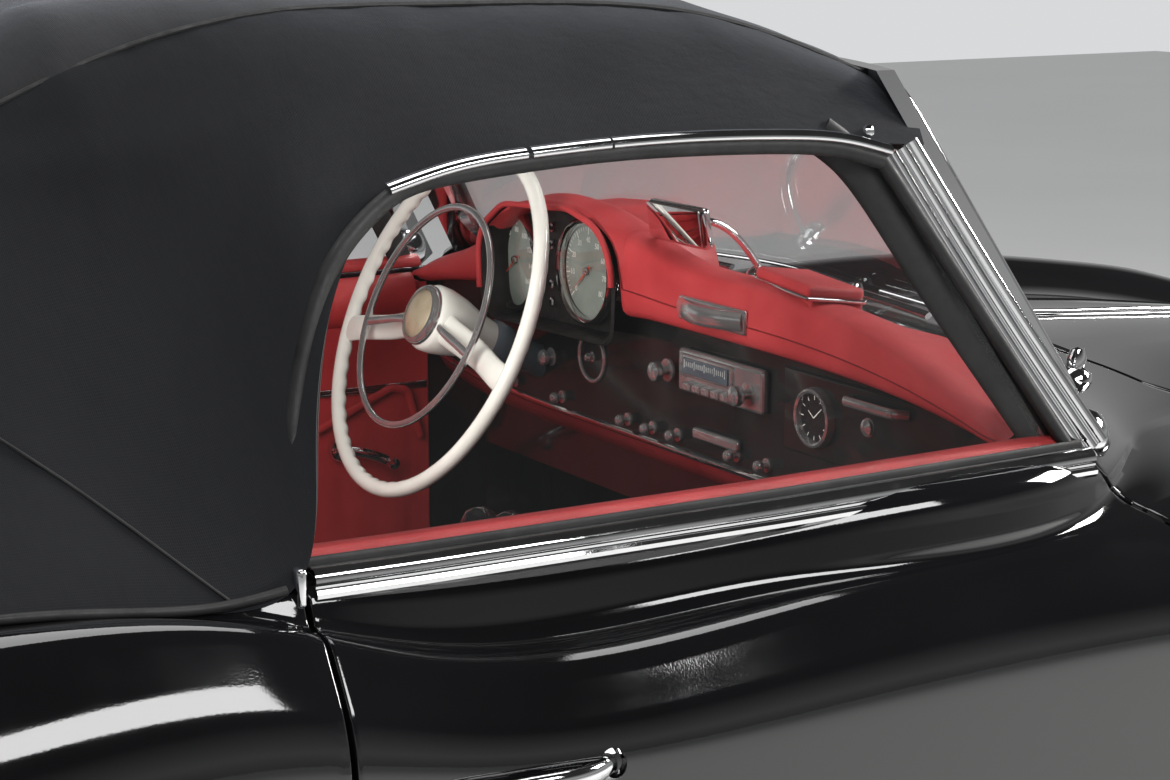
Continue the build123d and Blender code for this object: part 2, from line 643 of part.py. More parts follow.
def road_wheel():
    """Steel wheel with its rim flanges, dished disc, hub boss and chrome cap. Outside is +Y."""
    r = RIM_R
    rim = [(r, -62), (r, 62), (r + 14, 64), (r + 14, 70), (r - 4, 70), (r - 12, 52), (r - 16, 20)]
    rim += [(95, 34), (60, 22), (40, 20), (40, 42), (0, 52), (0, 30), (SPINDLE_R + RUNNING_FIT, 30)]
    rim += [(SPINDLE_R + RUNNING_FIT, -22), (36, -22), (40, 10), (92, 24), (r - 28, 8), (r - 14, -54)]
    rim += [(r - 6, -70), (r + 14, -70), (r + 14, -64)]
    return revolve(Plane.XY * make_face(Polyline(*rim, close=True)), axis=Axis.Y)


def knuckle():
    """Left knuckle: kingpin through both wishbone eyes, upright and wheel spindle."""
    x = FRONT_AXLE_X
    post = rod((x, KINGPIN_Y, TYRE_R - 96), (x, KINGPIN_Y, TYRE_R + 96), KINGPIN_R)
    post += rod((x, KINGPIN_Y, TYRE_R - 66), (x, KINGPIN_Y, TYRE_R + 66), 20)
    spindle = rod((x, KINGPIN_Y, TYRE_R), (x, FRONT_TRACK / 2 + 26, TYRE_R), SPINDLE_R)
    collar = rod((x, KINGPIN_Y, TYRE_R), (x, FRONT_TRACK / 2 - 24, TYRE_R), 26)
    lever = box(x - 110, x, KINGPIN_Y - 30, KINGPIN_Y - 12, TYRE_R - 50, TYRE_R - 34)
    return post + spindle + collar + lever


def front_subframe():
    """Crossmember between the inner wings, with upper and lower wishbones to the kingpins."""
    x = FRONT_AXLE_X
    frame = box(x - 90, x + 90, -BAY_HALF, BAY_HALF, 215, 275)
    for side in (-1, 1):
        frame += box(x - 45, x + 45, side * 360 - 22, side * 360 + 22, 200, 430)
        for z in (TYRE_R - 90, TYRE_R + 74):
            plan = [(x - 55, 340), (x + 55, 340), (x + 20, KINGPIN_Y + 18), (x - 20, KINGPIN_Y + 18)]
            arm = slab_xy([(px, side * py) for px, py in plan], z, z + 16)
            eye = rod((x, side * KINGPIN_Y, z), (x, side * KINGPIN_Y, z + 16), 24)
            bore = rod((x, side * KINGPIN_Y, z - 1), (x, side * KINGPIN_Y, z + 17), KINGPIN_R + RUNNING_FIT)
            frame = frame + arm + eye - bore
    return frame


def rear_axle():
    """Axle tube with differential, wheel spindles and the spring posts that carry the body."""
    x = REAR_AXLE_X
    half = REAR_TRACK / 2
    axle = rod((x, -half + 75, TYRE_R), (x, half - 75, TYRE_R), 36)
    axle += rod((x, -half - 26, TYRE_R), (x, half + 26, TYRE_R), SPINDLE_R)
    axle += Pos(x, 0, TYRE_R) * Sphere(DIFF_R)
    for side in (-1, 1):
        axle += rod((x, side * 430, TYRE_R), (x, side * 430, AXLE_WELL_TOP), 48)
        axle += rod((x, side * (half - 75), TYRE_R), (x, side * (half - 24), TYRE_R), 34)
    return axle


def bumper(way):
    """Wrap-round blade with two overriders and its brackets, at the front or the rear."""
    thick = 22
    mid = HALF_LENGTH - 14
    end_x = HALF_LENGTH - 108
    outer = ThreePointArc((end_x, -790), (mid, 0), (end_x, 790))
    inner = ThreePointArc((end_x - thick, -790), (mid - thick, 0), (end_x - thick, 790))
    face = make_face([outer, inner, Line(outer @ 0, inner @ 0), Line(outer @ 1, inner @ 1)])
    blade = extrude(Pos(0, 0, 395) * face, amount=88)
    blade = fillet(blade.edges().filter_by(GeomType.CIRCLE), thick * 0.45)
    for side in (-1, 1):
        blade += Pos(HALF_LENGTH - 33, side * 330, 450) * Cylinder(33, 200)
        blade += box(1950, HALF_LENGTH - 60, side * 330 - 16, side * 330 + 16, 420, 450)
    if way < 0:
        blade = mirror(blade, about=Plane.YZ)
    return whole(blade - HULL)


def grille():
    """Oval surround with horizontal bars and one upright, set in the nose opening."""
    width = 2 * GRILLE_HALF
    height = GRILLE_HIGH - GRILLE_LOW
    mid_z = (GRILLE_HIGH + GRILLE_LOW) / 2
    plane = Plane(origin=(1995, 0, mid_z), x_dir=(0, 1, 0), z_dir=(1, 0, 0))
    ring = extrude(plane * RectangleRounded(width, height, 60), amount=40)
    ring -= extrude(plane * RectangleRounded(width - 36, height - 36, 44), amount=40)
    for i in range(GRILLE_BARS):
        z = GRILLE_LOW + 18 + (i + 1) * (height - 36) / (GRILLE_BARS + 1)
        ring += rod((2015, -GRILLE_HALF + 10, z), (2015, GRILLE_HALF - 10, z), 4.5)
    ring += box(2008, 2022, -9, 9, GRILLE_LOW + 10, GRILLE_HIGH - 10)
    return ring


def split_shell(shell):
    """The welded shell's parts: the middle of the front, its two wings, the floor pan and the rear."""
    sill_zone = box(DOOR_REAR_X - GAP, DOOR_FRONT_X + GAP, -950, 950, 0, SILL_TOP)
    sill_zone += box(REAR_FLOOR_END, DOOR_FRONT_X + GAP, -CABIN_HALF, CABIN_HALF, 0, FLOOR_TOP)
    sill_zone += box(REAR_FLOOR_END, DOOR_FRONT_X + GAP, -300, 300, 0, TUNNEL_TOP + GAP)
    rear_zone = box(-2300, DOOR_REAR_X - GAP, -950, 950, 0, 1100)
    wing_zone = box(BAY_REAR, 2300, WING_SPLIT_Y, 950, 0, 1100)
    front = shell - sill_zone - rear_zone
    left_wing = front & wing_zone
    middle = front - wing_zone - mirror_y(wing_zone)
    return middle, left_wing, shell & sill_zone, (shell & rear_zone) - sill_zone


def lid_with_arms(outline_of, axis_x, axis_z, way):
    """Lid skin cut from the shell, with its two goosenecks bored for the hinge pins."""
    lid = whole((HULL & outline_of) - HULL.moved(Pos(0, 0, -SKIN)))
    for y in (-ARM_Y, ARM_Y):
        bore = rod((axis_x, y - 30, axis_z), (axis_x, y + 30, axis_z), HINGE_PIN_R + RUNNING_FIT)
        lid = lid + gooseneck(axis_x, axis_z, way, y) - bore
    return lid


def body_nodes():
    middle, left_wing, floor, rear = split_shell(body_shell())
    left_wing += lamp_pod(1) & box(BAY_REAR, 2300, WING_SPLIT_Y, 950, 0, 1100)
    lamp_hole = rod((LAMP_X, LAMP_Y, LAMP_Z), (LAMP_X + 150, LAMP_Y, LAMP_Z), LAMP_R - 1)
    left_wing = whole(left_wing - lamp_hole)
    for one in door_hinge_arms():
        for arm in both(one):
            middle += arm & box(HINGE_X - 20, 700, -950, 950, 0, 1000)
    for y in (-ARM_Y, ARM_Y):
        middle += hinge_bracket(BONNET_AXIS_X, BONNET_AXIS_Z, y, WELL_DEPTH + 1)
        rear += hinge_bracket(LID_AXIS_X, LID_AXIS_Z, y, LID_AXIS_Z - BOOT_FLOOR + 1)
    node("front_body", whole(middle))
    node("front_wing_left", left_wing)
    node("front_wing_right", mirror_y(left_wing))
    node("floor_pan", whole(floor))
    node("rear_body", whole(rear))
    node("bonnet", lid_with_arms(bonnet_plan(0, 500, 1100), BONNET_AXIS_X, BONNET_AXIS_Z, 1))
    node("boot_lid", lid_with_arms(boot_plan(0, 400, 1100), LID_AXIS_X, LID_AXIS_Z, -1))
    glass = side_glass()
    left_door = door(HULL & slab_xz(door_outline(0), CABIN_HALF, 950)) - glass
    node("door_left", left_door)
    node("door_right", mirror_y(left_door))
    node("door_glass_left", glass)
    node("door_glass_right", mirror_y(glass))


def cabin_nodes():
    frame = whole(screen_band(0, FRAME_THICK) - screen_opening(0) - HULL)
    pane = whole(screen_band(8, GLASS_THICK) & screen_opening(FIT))
    node("windscreen_frame", frame)
    node("windscreen_glass", pane)
    node("soft_top", whole(soft_top() - screen_band(-4, FRAME_THICK + 8)))
    node("rear_window", rear_window())
    board = dashboard()
    node("dashboard", board)
    node("glovebox_lid", glovebox_lid())
    node("instruments", instruments())
    node("steering_wheel", whole(steering_wheel()))
    node("steering_column", steering_column())
    node("seat_cushions", [seat_cushion(y) for y in SEAT_YS])
    node("seat_backs", [seat_back(y) for y in SEAT_YS])
    node("seat_frames", [part for y in SEAT_YS for part in seat_frame(y)])
    pedals = []
    for y in (260, 370, 480):
        pedals.append(box(745, 757, y - 30, y + 30, 330, 420) + rod((751, y, 380), (751, y, 640), 8))
    node("pedals", pedals)
    lever = rod((250, 0, TUNNEL_TOP), (210, 0, 640), 8) + Pos(210, 0, 645) * Sphere(22)
    node("gear_lever", lever & box(0, 500, -50, 50, TUNNEL_TOP, 700))
    head = Pos(473, 0, 1034) * fillet(Box(20, 124, 66).edges(), 9)
    node("mirror", whole(rod((490, 0, 960), (480, 0, 1030), 6) + head - board))
    wipers = []
    for y in (-380, 60):
        arm = rod((790, y, 870), (780, y, 912), 10) + rod((780, y, 908), (716, y + 300, 950), 5)
        wipers.append(whole(arm - HULL))
    node("wipers", wipers)


def running_gear_nodes():
    wheel = road_wheel()
    rubber = tyre()
    corners = {"front": (FRONT_AXLE_X, FRONT_TRACK / 2), "rear": (REAR_AXLE_X, REAR_TRACK / 2)}
    for end, (x, y) in corners.items():
        for kind, shape in (("wheel_", wheel), ("tyre_", rubber)):
            placed = Pos(x, y, TYRE_R) * shape
            node(kind + end + "_left", placed)
            node(kind + end + "_right", mirror_y(placed))
    left = knuckle()
    node("knuckle_left", left)
    node("knuckle_right", mirror_y(left))
    node("front_subframe", front_subframe())
    node("rear_axle", rear_axle())
    node("engine", engine())
    shaft = rod((400, 0, SHAFT_Z), (REAR_AXLE_X + 80, 0, TYRE_R), 32)
    shaft += rod((395, 0, SHAFT_Z), (480, 0, SHAFT_Z), 34)
    node("propshaft", shaft - Pos(REAR_AXLE_X, 0, TYRE_R) * Sphere(DIFF_R))
    pipe = rod((900, PIPE_Y, PIPE_Z), (-2060, PIPE_Y, PIPE_Z), PIPE_R)
    pipe += rod((-300, PIPE_Y, PIPE_Z), (-760, PIPE_Y, PIPE_Z), PIPE_R + 8)
    for x in (700, 0, -1500, -1950):
        pipe += box(x - 8, x + 8, PIPE_Y - 8, PIPE_Y + 8, PIPE_Z, PIPE_Z + 152)
    node("exhaust", whole(pipe - HULL))


def engine():
    """Engine and gearbox as one block, with its two mounts on the bay's walls."""
    block = box(1010, 1500, -170, 170, 330, 690) + rod((520, 0, SHAFT_Z), (1060, 0, SHAFT_Z), 62)
    block += box(1000, 1060, -80, 80, SHAFT_Z, 400) + rod((480, 0, SHAFT_Z), (530, 0, SHAFT_Z), 38)
    mount = box(1180, 1240, 170, BAY_HALF, 380, 420)
    return block + mount + mirror_y(mount)


def trim_nodes():
    node("front_bumper", bumper(1))
    node("rear_bumper", bumper(-1))
    node("grille", grille())
    lamp = rod((LAMP_X, LAMP_Y, LAMP_Z), (LAMP_X + 34, LAMP_Y, LAMP_Z), LAMP_R - 2)
    node("headlamps", both(lamp))
    tail = whole(rod((-2052, 560, 545), (-1930, 575, 560), 46) - HULL)
    node("tail_lamps", both(tail))


def main():
    os.makedirs("parts", exist_ok=True)
    body_nodes()
    cabin_nodes()
    running_gear_nodes()
    trim_nodes()


SCREEN_KEEP_OUT = screen_band(-2, 60)
main()
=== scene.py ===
import json
import math

import bmesh
import bpy
import numpy as np
from mathutils import Matrix, Vector


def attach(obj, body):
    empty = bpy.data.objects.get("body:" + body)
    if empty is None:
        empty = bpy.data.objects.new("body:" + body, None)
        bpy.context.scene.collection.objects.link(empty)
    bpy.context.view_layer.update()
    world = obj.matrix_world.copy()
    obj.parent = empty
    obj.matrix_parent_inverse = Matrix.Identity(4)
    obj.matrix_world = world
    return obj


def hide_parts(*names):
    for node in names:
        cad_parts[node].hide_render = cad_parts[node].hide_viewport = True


# 1950s two-seat convertible with its fabric top up. Metres; +X forward, +Y left, +Z up.
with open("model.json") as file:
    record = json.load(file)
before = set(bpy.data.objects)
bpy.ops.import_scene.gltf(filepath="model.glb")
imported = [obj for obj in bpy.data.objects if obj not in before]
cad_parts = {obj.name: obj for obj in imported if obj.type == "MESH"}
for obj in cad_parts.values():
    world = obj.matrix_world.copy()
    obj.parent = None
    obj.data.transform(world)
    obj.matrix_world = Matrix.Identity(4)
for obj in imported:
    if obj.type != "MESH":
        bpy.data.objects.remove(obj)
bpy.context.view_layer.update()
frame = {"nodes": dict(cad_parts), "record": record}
NODES = frame["nodes"]
MM = 0.001


# Curves and grids
def natural_spline(knots, values, at):
    """Smooth curve through values at knots, read at the places in at."""
    knots = np.asarray(knots, float)
    values = np.asarray(values, float)
    at = np.asarray(at, float)
    count = len(knots)
    step = np.diff(knots)
    matrix = np.eye(count)
    right = np.zeros(values.shape)
    for i in range(1, count - 1):
        matrix[i, i - 1:i + 2] = step[i - 1], 2 * (step[i - 1] + step[i]), step[i]
        right[i] = 6 * ((values[i + 1] - values[i]) / step[i] - (values[i] - values[i - 1]) / step[i - 1])
    bend = np.linalg.solve(matrix, right.reshape(count, -1)).reshape(values.shape)
    seg = np.clip(np.searchsorted(knots, at, side="right") - 1, 0, count - 2)
    wide = (-1,) + (1,) * (values.ndim - 1)
    b = ((at - knots[seg]) / step[seg]).reshape(wide)
    a = 1 - b
    h = step[seg].reshape(wide)
    curve = a * values[seg] + b * values[seg + 1]
    return curve + ((a ** 3 - a) * bend[seg] + (b ** 3 - b) * bend[seg + 1]) * h ** 2 / 6


def chord(points):
    """Running length along rows of points, averaged over all but the first axis."""
    steps = np.linalg.norm(np.diff(points, axis=0), axis=-1)
    steps = steps.reshape(len(steps), -1).mean(axis=1)
    return np.concatenate([[0.0], np.cumsum(steps)])


def smooth_path(points, count):
    """Evenly spaced points on a smooth curve through a few."""
    points = np.asarray(points, float)
    run = chord(points)
    return natural_spline(run, points, np.linspace(0, run[-1], count))


def rounded_path(corners, radius, steps=6, closed=False):
    """Straight runs joined by arcs of one radius."""
    corners = [Vector(c) for c in corners]
    radii = radius if isinstance(radius, (list, tuple)) else [radius] * len(corners)
    out = []
    for i, corner in enumerate(corners):
        if not closed and i in (0, len(corners) - 1):
            out.append(corner)
            continue
        back = (corners[i - 1] - corner).normalized()
        ahead = (corners[(i + 1) % len(corners)] - corner).normalized()
        turn = math.pi - back.angle(ahead)
        reach = radii[i] * math.tan(turn / 2)
        start = corner + back * reach
        end = corner + ahead * reach
        weight = math.cos(turn / 2)
        for k in range(steps + 1):
            t = k / steps
            top = start * (1 - t) ** 2 + corner * (2 * weight * t * (1 - t)) + end * t ** 2
            out.append(top / ((1 - t) ** 2 + 2 * weight * t * (1 - t) + t ** 2))
    return np.array([list(p) for p in out])


def circle(radius, sides, start=0.0):
    angles = start + np.linspace(0, 2 * math.pi, sides, endpoint=False)
    return np.stack([radius * np.cos(angles), radius * np.sin(angles)], axis=1)


def oval(wide, high, sides):
    return [(a * wide, b * high) for a, b in circle(1, sides)]


def tilt(degrees, axis="Y"):
    return Matrix.Rotation(math.radians(degrees), 3, axis)


def frames_along(path, up, closed):
    if closed:
        tangent = np.roll(path, -1, axis=0) - np.roll(path, 1, axis=0)
    else:
        tangent = np.gradient(path, axis=0)
    tangent /= np.linalg.norm(tangent, axis=1)[:, None]
    up = np.broadcast_to(np.asarray(up, float), path.shape)
    side = np.cross(tangent, up)
    side /= np.maximum(np.linalg.norm(side, axis=1)[:, None], 1e-9)
    return side, np.cross(side, tangent)


class Shape:
    """Collects the parts of one piece, in metres, before it becomes a mesh."""

    def __init__(self):
        self.points, self.faces, self.slots, self.coords = [], [], [], []
        self.total = 0

    def add(self, points, faces, uv=None):
        points = np.asarray(points, float).reshape(-1, 3)
        self.points.append(points)
        self.coords.append(np.zeros((len(points), 2)) if uv is None else np.asarray(uv).reshape(-1, 2))
        self.faces += [[int(i) + self.total for i in face] for face in faces]
        self.total += len(points)
        return self

    def grid(self, rows, wrap=False, wrap_rows=False, flip=False):
        rows = np.asarray(rows, float)
        n, m = rows.shape[:2]
        faces = []
        for i in range(n if wrap_rows else n - 1):
            for j in range(m if wrap else m - 1):
                a = i * m + j
                b = i * m + (j + 1) % m
                c = ((i + 1) % n) * m + (j + 1) % m
                d = ((i + 1) % n) * m + j
                faces.append([d, c, b, a] if flip else [a, b, c, d])
        return self.add(rows, faces)

    def sweep(self, path, profile, up=(0, 0, 1), closed=False, sizes=None):
        """Carry a profile of (side, up) offsets along a path."""
        path = np.asarray(path, float)
        side, lift = frames_along(path, up, closed)
        profile = np.asarray(profile, float)
        scale = np.ones(len(path)) if sizes is None else np.asarray(sizes, float)
        rows = path[:, None, :] + scale[:, None, None] * (
            side[:, None, :] * profile[None, :, 0:1] + lift[:, None, :] * profile[None, :, 1:2])
        first = self.total
        self.grid(rows, wrap=True, wrap_rows=closed)
        if not closed:
            m = len(profile)
            last = first + (len(path) - 1) * m
            self.faces += [[first + j for j in range(m)], [last + m - 1 - j for j in range(m)]]
        return self

    def tube(self, path, radius, sides=12, up=(0, 0, 1), closed=False):
        return self.sweep(path, circle(radius, sides), up, closed)

    def lathe(self, profile, centre, axis, sides=64):
        """Turn a profile of (radius, along) about an axis."""
        axis = Vector(axis).normalized()
        helper = Vector((0, 0, 1)) if abs(axis.z) < 0.9 else Vector((1, 0, 0))
        u = axis.cross(helper).normalized()
        v = axis.cross(u)
        profile = np.asarray(profile, float)
        turn = circle(1, sides)
        ring = turn[:, :1] * np.array(u) + turn[:, 1:] * np.array(v)
        rows = np.array(centre) + profile[:, None, 0:1] * ring[None] + profile[:, None, 1:2] * np.array(axis)
        return self.grid(rows, wrap=True, flip=True)

    def block(self, centre, size, radius=0.003, turn=None, segments=3):
        """Box with rounded edges."""
        mesh = bmesh.new()
        bmesh.ops.create_cube(mesh, size=1.0)
        bmesh.ops.scale(mesh, vec=Vector(size), verts=mesh.verts)
        if radius > 0:
            limit = min(radius, 0.499 * min(size))
            bmesh.ops.bevel(mesh, geom=mesh.edges[:], offset=limit, segments=segments, profile=0.5,
                            affect="EDGES", clamp_overlap=True)
        place = Matrix.Translation(Vector(centre)) @ (turn.to_4x4() if turn else Matrix.Identity(4))
        mesh.transform(place)
        mesh.verts.index_update()
        points = [list(v.co) for v in mesh.verts]
        faces = [[v.index for v in f.verts] for f in mesh.faces]
        mesh.free()
        return self.add(points, faces)

    def moved(self, matrix):
        for i, points in enumerate(self.points):
            self.points[i] = np.array([list(matrix @ Vector(p)) for p in points]).reshape(-1, 3)
        return self

    def mirrored(self):
        """The same piece on the car's other side."""
        other = Shape()
        other.points = [p * np.array([1, -1, 1]) for p in self.points]
        other.coords = self.coords
        other.faces = [face[::-1] for face in self.faces]
        return other

    def make(self, name, materials, angle=38.0, body="chassis", slot=None, replaces=()):
        """Turn the parts into one object that rides on a body; edges sharper than angle stay hard."""
        materials = materials if isinstance(materials, list) else [materials]
        mesh = bpy.data.meshes.new(name)
        mesh.from_pydata(np.concatenate(self.points).tolist(), [], self.faces)
        for material in materials:
            mesh.materials.append(material)
        mesh.polygons.foreach_set("material_index", self.slots or [0] * len(self.faces))
        coords = np.concatenate(self.coords)
        if np.abs(coords).max() > 0:
            loops = np.zeros(len(mesh.loops), np.int32)
            mesh.loops.foreach_get("vertex_index", loops)
            mesh.uv_layers.new(name="Cloth").data.foreach_set("uv", coords[loops].astype(np.float32).ravel())
        mesh.validate()
        mesh.polygons.foreach_set("use_smooth", [True] * len(mesh.polygons))
        mesh.set_sharp_from_angle(angle=math.radians(angle))
        piece = bpy.data.objects.new(name, mesh)
        bpy.context.scene.collection.objects.link(piece)
        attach(piece, body)
        if replaces:
            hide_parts(*replaces)
        return piece


# Materials
def new_material(name):
    material = bpy.data.materials.new(name)
    material.use_nodes = True
    tree = material.node_tree
    shader = tree.nodes["Principled BSDF"]
    return material, tree, shader


def add_node(tree, kind, **values):
    node = tree.nodes.new(kind)
    for key, value in values.items():
        if key.startswith("in_"):
            label = key[3:].replace("_", " ")
            node.inputs[label].default_value = value
        else:
            setattr(node, key, value)
    return node


def coordinates(tree, cloth=False):
    if cloth:
        return add_node(tree, "ShaderNodeUVMap", uv_map="Cloth").outputs["UV"]
    return add_node(tree, "ShaderNodeTexCoord").outputs["Object"]


def noise(tree, where, scale, detail=3.0, roughness=0.55, stretch=None):
    if stretch is not None:
        mapping = add_node(tree, "ShaderNodeMapping")
        mapping.inputs["Scale"].default_value = stretch
        tree.links.new(where, mapping.inputs["Vector"])
        where = mapping.outputs["Vector"]
    node = add_node(tree, "ShaderNodeTexNoise", in_Scale=scale, in_Detail=detail, in_Roughness=roughness)
    tree.links.new(where, node.inputs["Vector"])
    return node.outputs["Fac"]


def ranged(tree, value, low, high, start=0.0, end=1.0):
    node = add_node(tree, "ShaderNodeMapRange", in_From_Min=start, in_From_Max=end, in_To_Min=low, in_To_Max=high)
    tree.links.new(value, node.inputs["Value"])
    return node.outputs["Result"]


def mixed(tree, value, first, second):
    node = add_node(tree, "ShaderNodeMix", data_type="RGBA")
    for socket, colour in ((6, first), (7, second)):
        node.inputs[socket].default_value = (*(colour if isinstance(colour, tuple) else (colour,) * 3), 1)
    tree.links.new(value, node.inputs["Factor"])
    return node.outputs[2]


def math_node(tree, kind, first, second):
    node = add_node(tree, "ShaderNodeMath", operation=kind)
    for socket, value in zip(node.inputs, (first, second)):
        if isinstance(value, (int, float)):
            socket.default_value = value
        else:
            tree.links.new(value, socket)
    return node.outputs[0]


def bump(tree, shader, height, distance, strength=1.0, coat=False):
    node = add_node(tree, "ShaderNodeBump", in_Strength=strength, in_Distance=distance)
    tree.links.new(height, node.inputs["Height"])
    tree.links.new(node.outputs["Normal"], shader.inputs["Normal"])
    if coat:
        tree.links.new(node.outputs["Normal"], shader.inputs["Coat Normal"])


def set_sockets(shader, **values):
    for key, value in values.items():
        shader.inputs[key.replace("_", " ")].default_value = value


def gloss_material(name, low, high, rough, metallic=0.0, scale=6.0, peel=0.0, peel_scale=700.0, coat=0.0):
    """Smooth painted, plated or moulded surface: slight colour drift, smudges and a fine ripple."""
    material, tree, shader = new_material(name)
    where = coordinates(tree)
    set_sockets(shader, Metallic=metallic, Coat_Weight=coat, Coat_Roughness=0.03)
    drift = noise(tree, where, scale)
    tree.links.new(mixed(tree, ranged(tree, drift, 0, 1, 0.3, 0.7), low, high), shader.inputs["Base Color"])
    smudge = noise(tree, where, scale * 3.1, 5.0, 0.65)
    tree.links.new(ranged(tree, smudge, rough[0], rough[1], 0.35, 0.75), shader.inputs["Roughness"])
    if peel:
        bump(tree, shader, noise(tree, where, peel_scale, 1.0), peel, 0.4, coat > 0)
    return material


def leather_material(name, low, high, scale=650.0):
    material, tree, shader = new_material(name)
    where = coordinates(tree)
    set_sockets(shader, Specular_IOR_Level=0.45, Coat_Weight=0.08, Coat_Roughness=0.35)
    wear = noise(tree, where, 9.0, 4.0)
    tree.links.new(mixed(tree, ranged(tree, wear, 0, 1, 0.32, 0.7), low, high), shader.inputs["Base Color"])
    cells = add_node(tree, "ShaderNodeTexVoronoi", feature="DISTANCE_TO_EDGE", in_Scale=scale)
    tree.links.new(where, cells.inputs["Vector"])
    grain = ranged(tree, cells.outputs["Distance"], 0, 1, 0.0, 0.22)
    tree.links.new(ranged(tree, grain, 0.55, 0.36), shader.inputs["Roughness"])
    crease = noise(tree, where, 60.0, 4.0)
    bump(tree, shader, math_node(tree, "ADD", grain, math_node(tree, "MULTIPLY", crease, 1.2)), 0.0003, 0.8)
    return material


def cloth_material(name, low, high, pitch, sheen=0.25, drift=5.0):
    """Plain weave: two crossed sets of threads in the sheet's own coordinates, with slubs and dust."""
    material, tree, shader = new_material(name)
    where = coordinates(tree, cloth=True)
    set_sockets(shader, Roughness=0.9, Sheen_Weight=sheen, Sheen_Roughness=0.45, Specular_IOR_Level=0.25)
    shader.inputs["Sheen Tint"].default_value = (0.75, 0.8, 0.9, 1)
    heights = []
    for direction in ("X", "Y"):
        wave = add_node(tree, "ShaderNodeTexWave", wave_type="BANDS", bands_direction=direction)
        set_sockets(wave, Scale=0.314 / pitch, Distortion=0.6, Detail=1.0)
        tree.links.new(where, wave.inputs["Vector"])
        heights.append(wave.outputs["Fac"])
    weave = math_node(tree, "MAXIMUM", heights[0], heights[1])
    slub = noise(tree, where, 420.0, 2.0, 0.6, (1.0, 0.12, 1.0))
    dust = noise(tree, where, drift, 6.0, 0.62)
    shade = math_node(tree, "ADD", math_node(tree, "MULTIPLY", dust, 0.62),
                      math_node(tree, "MULTIPLY", math_node(tree, "ADD", weave, slub), 0.2))
    tree.links.new(mixed(tree, ranged(tree, shade, 0, 1, 0.3, 0.85), low, high), shader.inputs["Base Color"])
    puckers = noise(tree, where, 26.0, 3.0)
    height = math_node(tree, "ADD", math_node(tree, "MULTIPLY", weave, 0.3),
                       math_node(tree, "ADD", math_node(tree, "MULTIPLY", slub, 0.25),
                                 math_node(tree, "MULTIPLY", puckers, 2.0)))
    bump(tree, shader, height, 0.0006, 0.7)
    return material


def glass_material(name, tint, least, gain):
    """Clear pane: it mirrors by angle and lets the rest straight through."""
    material, tree, shader = new_material(name)
    set_sockets(shader, Metallic=1.0)
    shader.inputs["Base Color"].default_value = (*tint, 1)
    where = coordinates(tree)
    haze = noise(tree, where, 5.0, 5.0)
    tree.links.new(ranged(tree, haze, 0.0, 0.03, 0.45, 0.8), shader.inputs["Roughness"])
    angle = add_node(tree, "ShaderNodeFresnel", in_IOR=1.45)
    share = math_node(tree, "MULTIPLY", angle.outputs["Fac"], gain)
    dirt = ranged(tree, haze, least, least + 0.03, 0.4, 0.8)
    tree.links.new(math_node(tree, "ADD", share, dirt), shader.inputs["Alpha"])
    material.use_transparent_shadow = True
    return material


def tyre_material():
    material, tree, shader = new_material("tyre_rubber")
    where = coordinates(tree)
    set_sockets(shader, Specular_IOR_Level=0.35)
    worn = noise(tree, where, 14.0, 5.0)
    tree.links.new(mixed(tree, worn, 0.012, (0.035, 0.034, 0.032)), shader.inputs["Base Color"])
    tree.links.new(ranged(tree, worn, 0.55, 0.85), shader.inputs["Roughness"])
    bump(tree, shader, noise(tree, where, 900.0, 3.0), 0.0003, 0.5)
    return material


PAINT = gloss_material("gloss_black_paint", (0.0035, 0.0035, 0.004), (0.006, 0.006, 0.007), (0.04, 0.1),
                       scale=3.0, peel=0.00004, peel_scale=500.0, coat=1.0)
CHROME = gloss_material("polished_chrome", (0.78, 0.79, 0.8), (0.86, 0.86, 0.87), (0.03, 0.11),
                        metallic=1.0, scale=9.0, peel=0.00003, peel_scale=260.0)
STEEL = gloss_material("brushed_steel", (0.42, 0.42, 0.43), 0.56, (0.22, 0.42), metallic=1.0, scale=20.0)
GLASS = glass_material("clear_glass", (0.9, 0.93, 0.92), 0.015, 0.38)
LAMP_GLASS = glass_material("lamp_glass", (0.9, 0.92, 0.93), 0.16, 1.3)
CLOTH = cloth_material("black_roof_cloth", (0.004, 0.0043, 0.0052), (0.013, 0.0135, 0.016), 0.0016)
# A lighter copy of the black cloth for the top panel: painted light where the top faces the lamps overhead.
CLOTH_PAINTED_LIT = cloth_material("roof_cloth_painted_lit", (0.011, 0.011, 0.0115), (0.034, 0.034, 0.035), 0.0016)
LINING = cloth_material("grey_lining_cloth", (0.05, 0.045, 0.04), (0.1, 0.09, 0.08), 0.002, 0.1)
CARPET = cloth_material("dark_carpet", (0.012, 0.01, 0.01), (0.05, 0.035, 0.033), 0.004, 0.4, 40.0)
RED = leather_material("red_leather", (0.3, 0.016, 0.018), (0.42, 0.032, 0.034))
RED_FINE = leather_material("red_dash_leather", (0.36, 0.026, 0.03), (0.5, 0.05, 0.055), 900.0)
IVORY = gloss_material("ivory_plastic", (0.66, 0.65, 0.6), (0.76, 0.75, 0.7), (0.12, 0.28), scale=12.0,
                       peel=0.00005, coat=0.6)
BLACK_GLOSS = gloss_material("dash_black_enamel", 0.006, 0.014, (0.08, 0.2),
                             scale=15.0, peel=0.00004, coat=0.15)
BLACK_GLOSS.node_tree.nodes["Principled BSDF"].inputs["Specular IOR Level"].default_value = 0.28
RUBBER = gloss_material("seal_rubber", 0.008, 0.02, (0.45, 0.7), scale=30.0,
                        peel=0.0002, peel_scale=900.0)
SATIN = gloss_material("underbody_satin", 0.02, (0.05, 0.048, 0.045), (0.4, 0.75), scale=16.0,
                       peel=0.0003, peel_scale=300.0)
CAST = gloss_material("cast_metal", 0.12, (0.26, 0.25, 0.24), (0.45, 0.75), metallic=0.7,
                      scale=24.0, peel=0.0006, peel_scale=240.0)
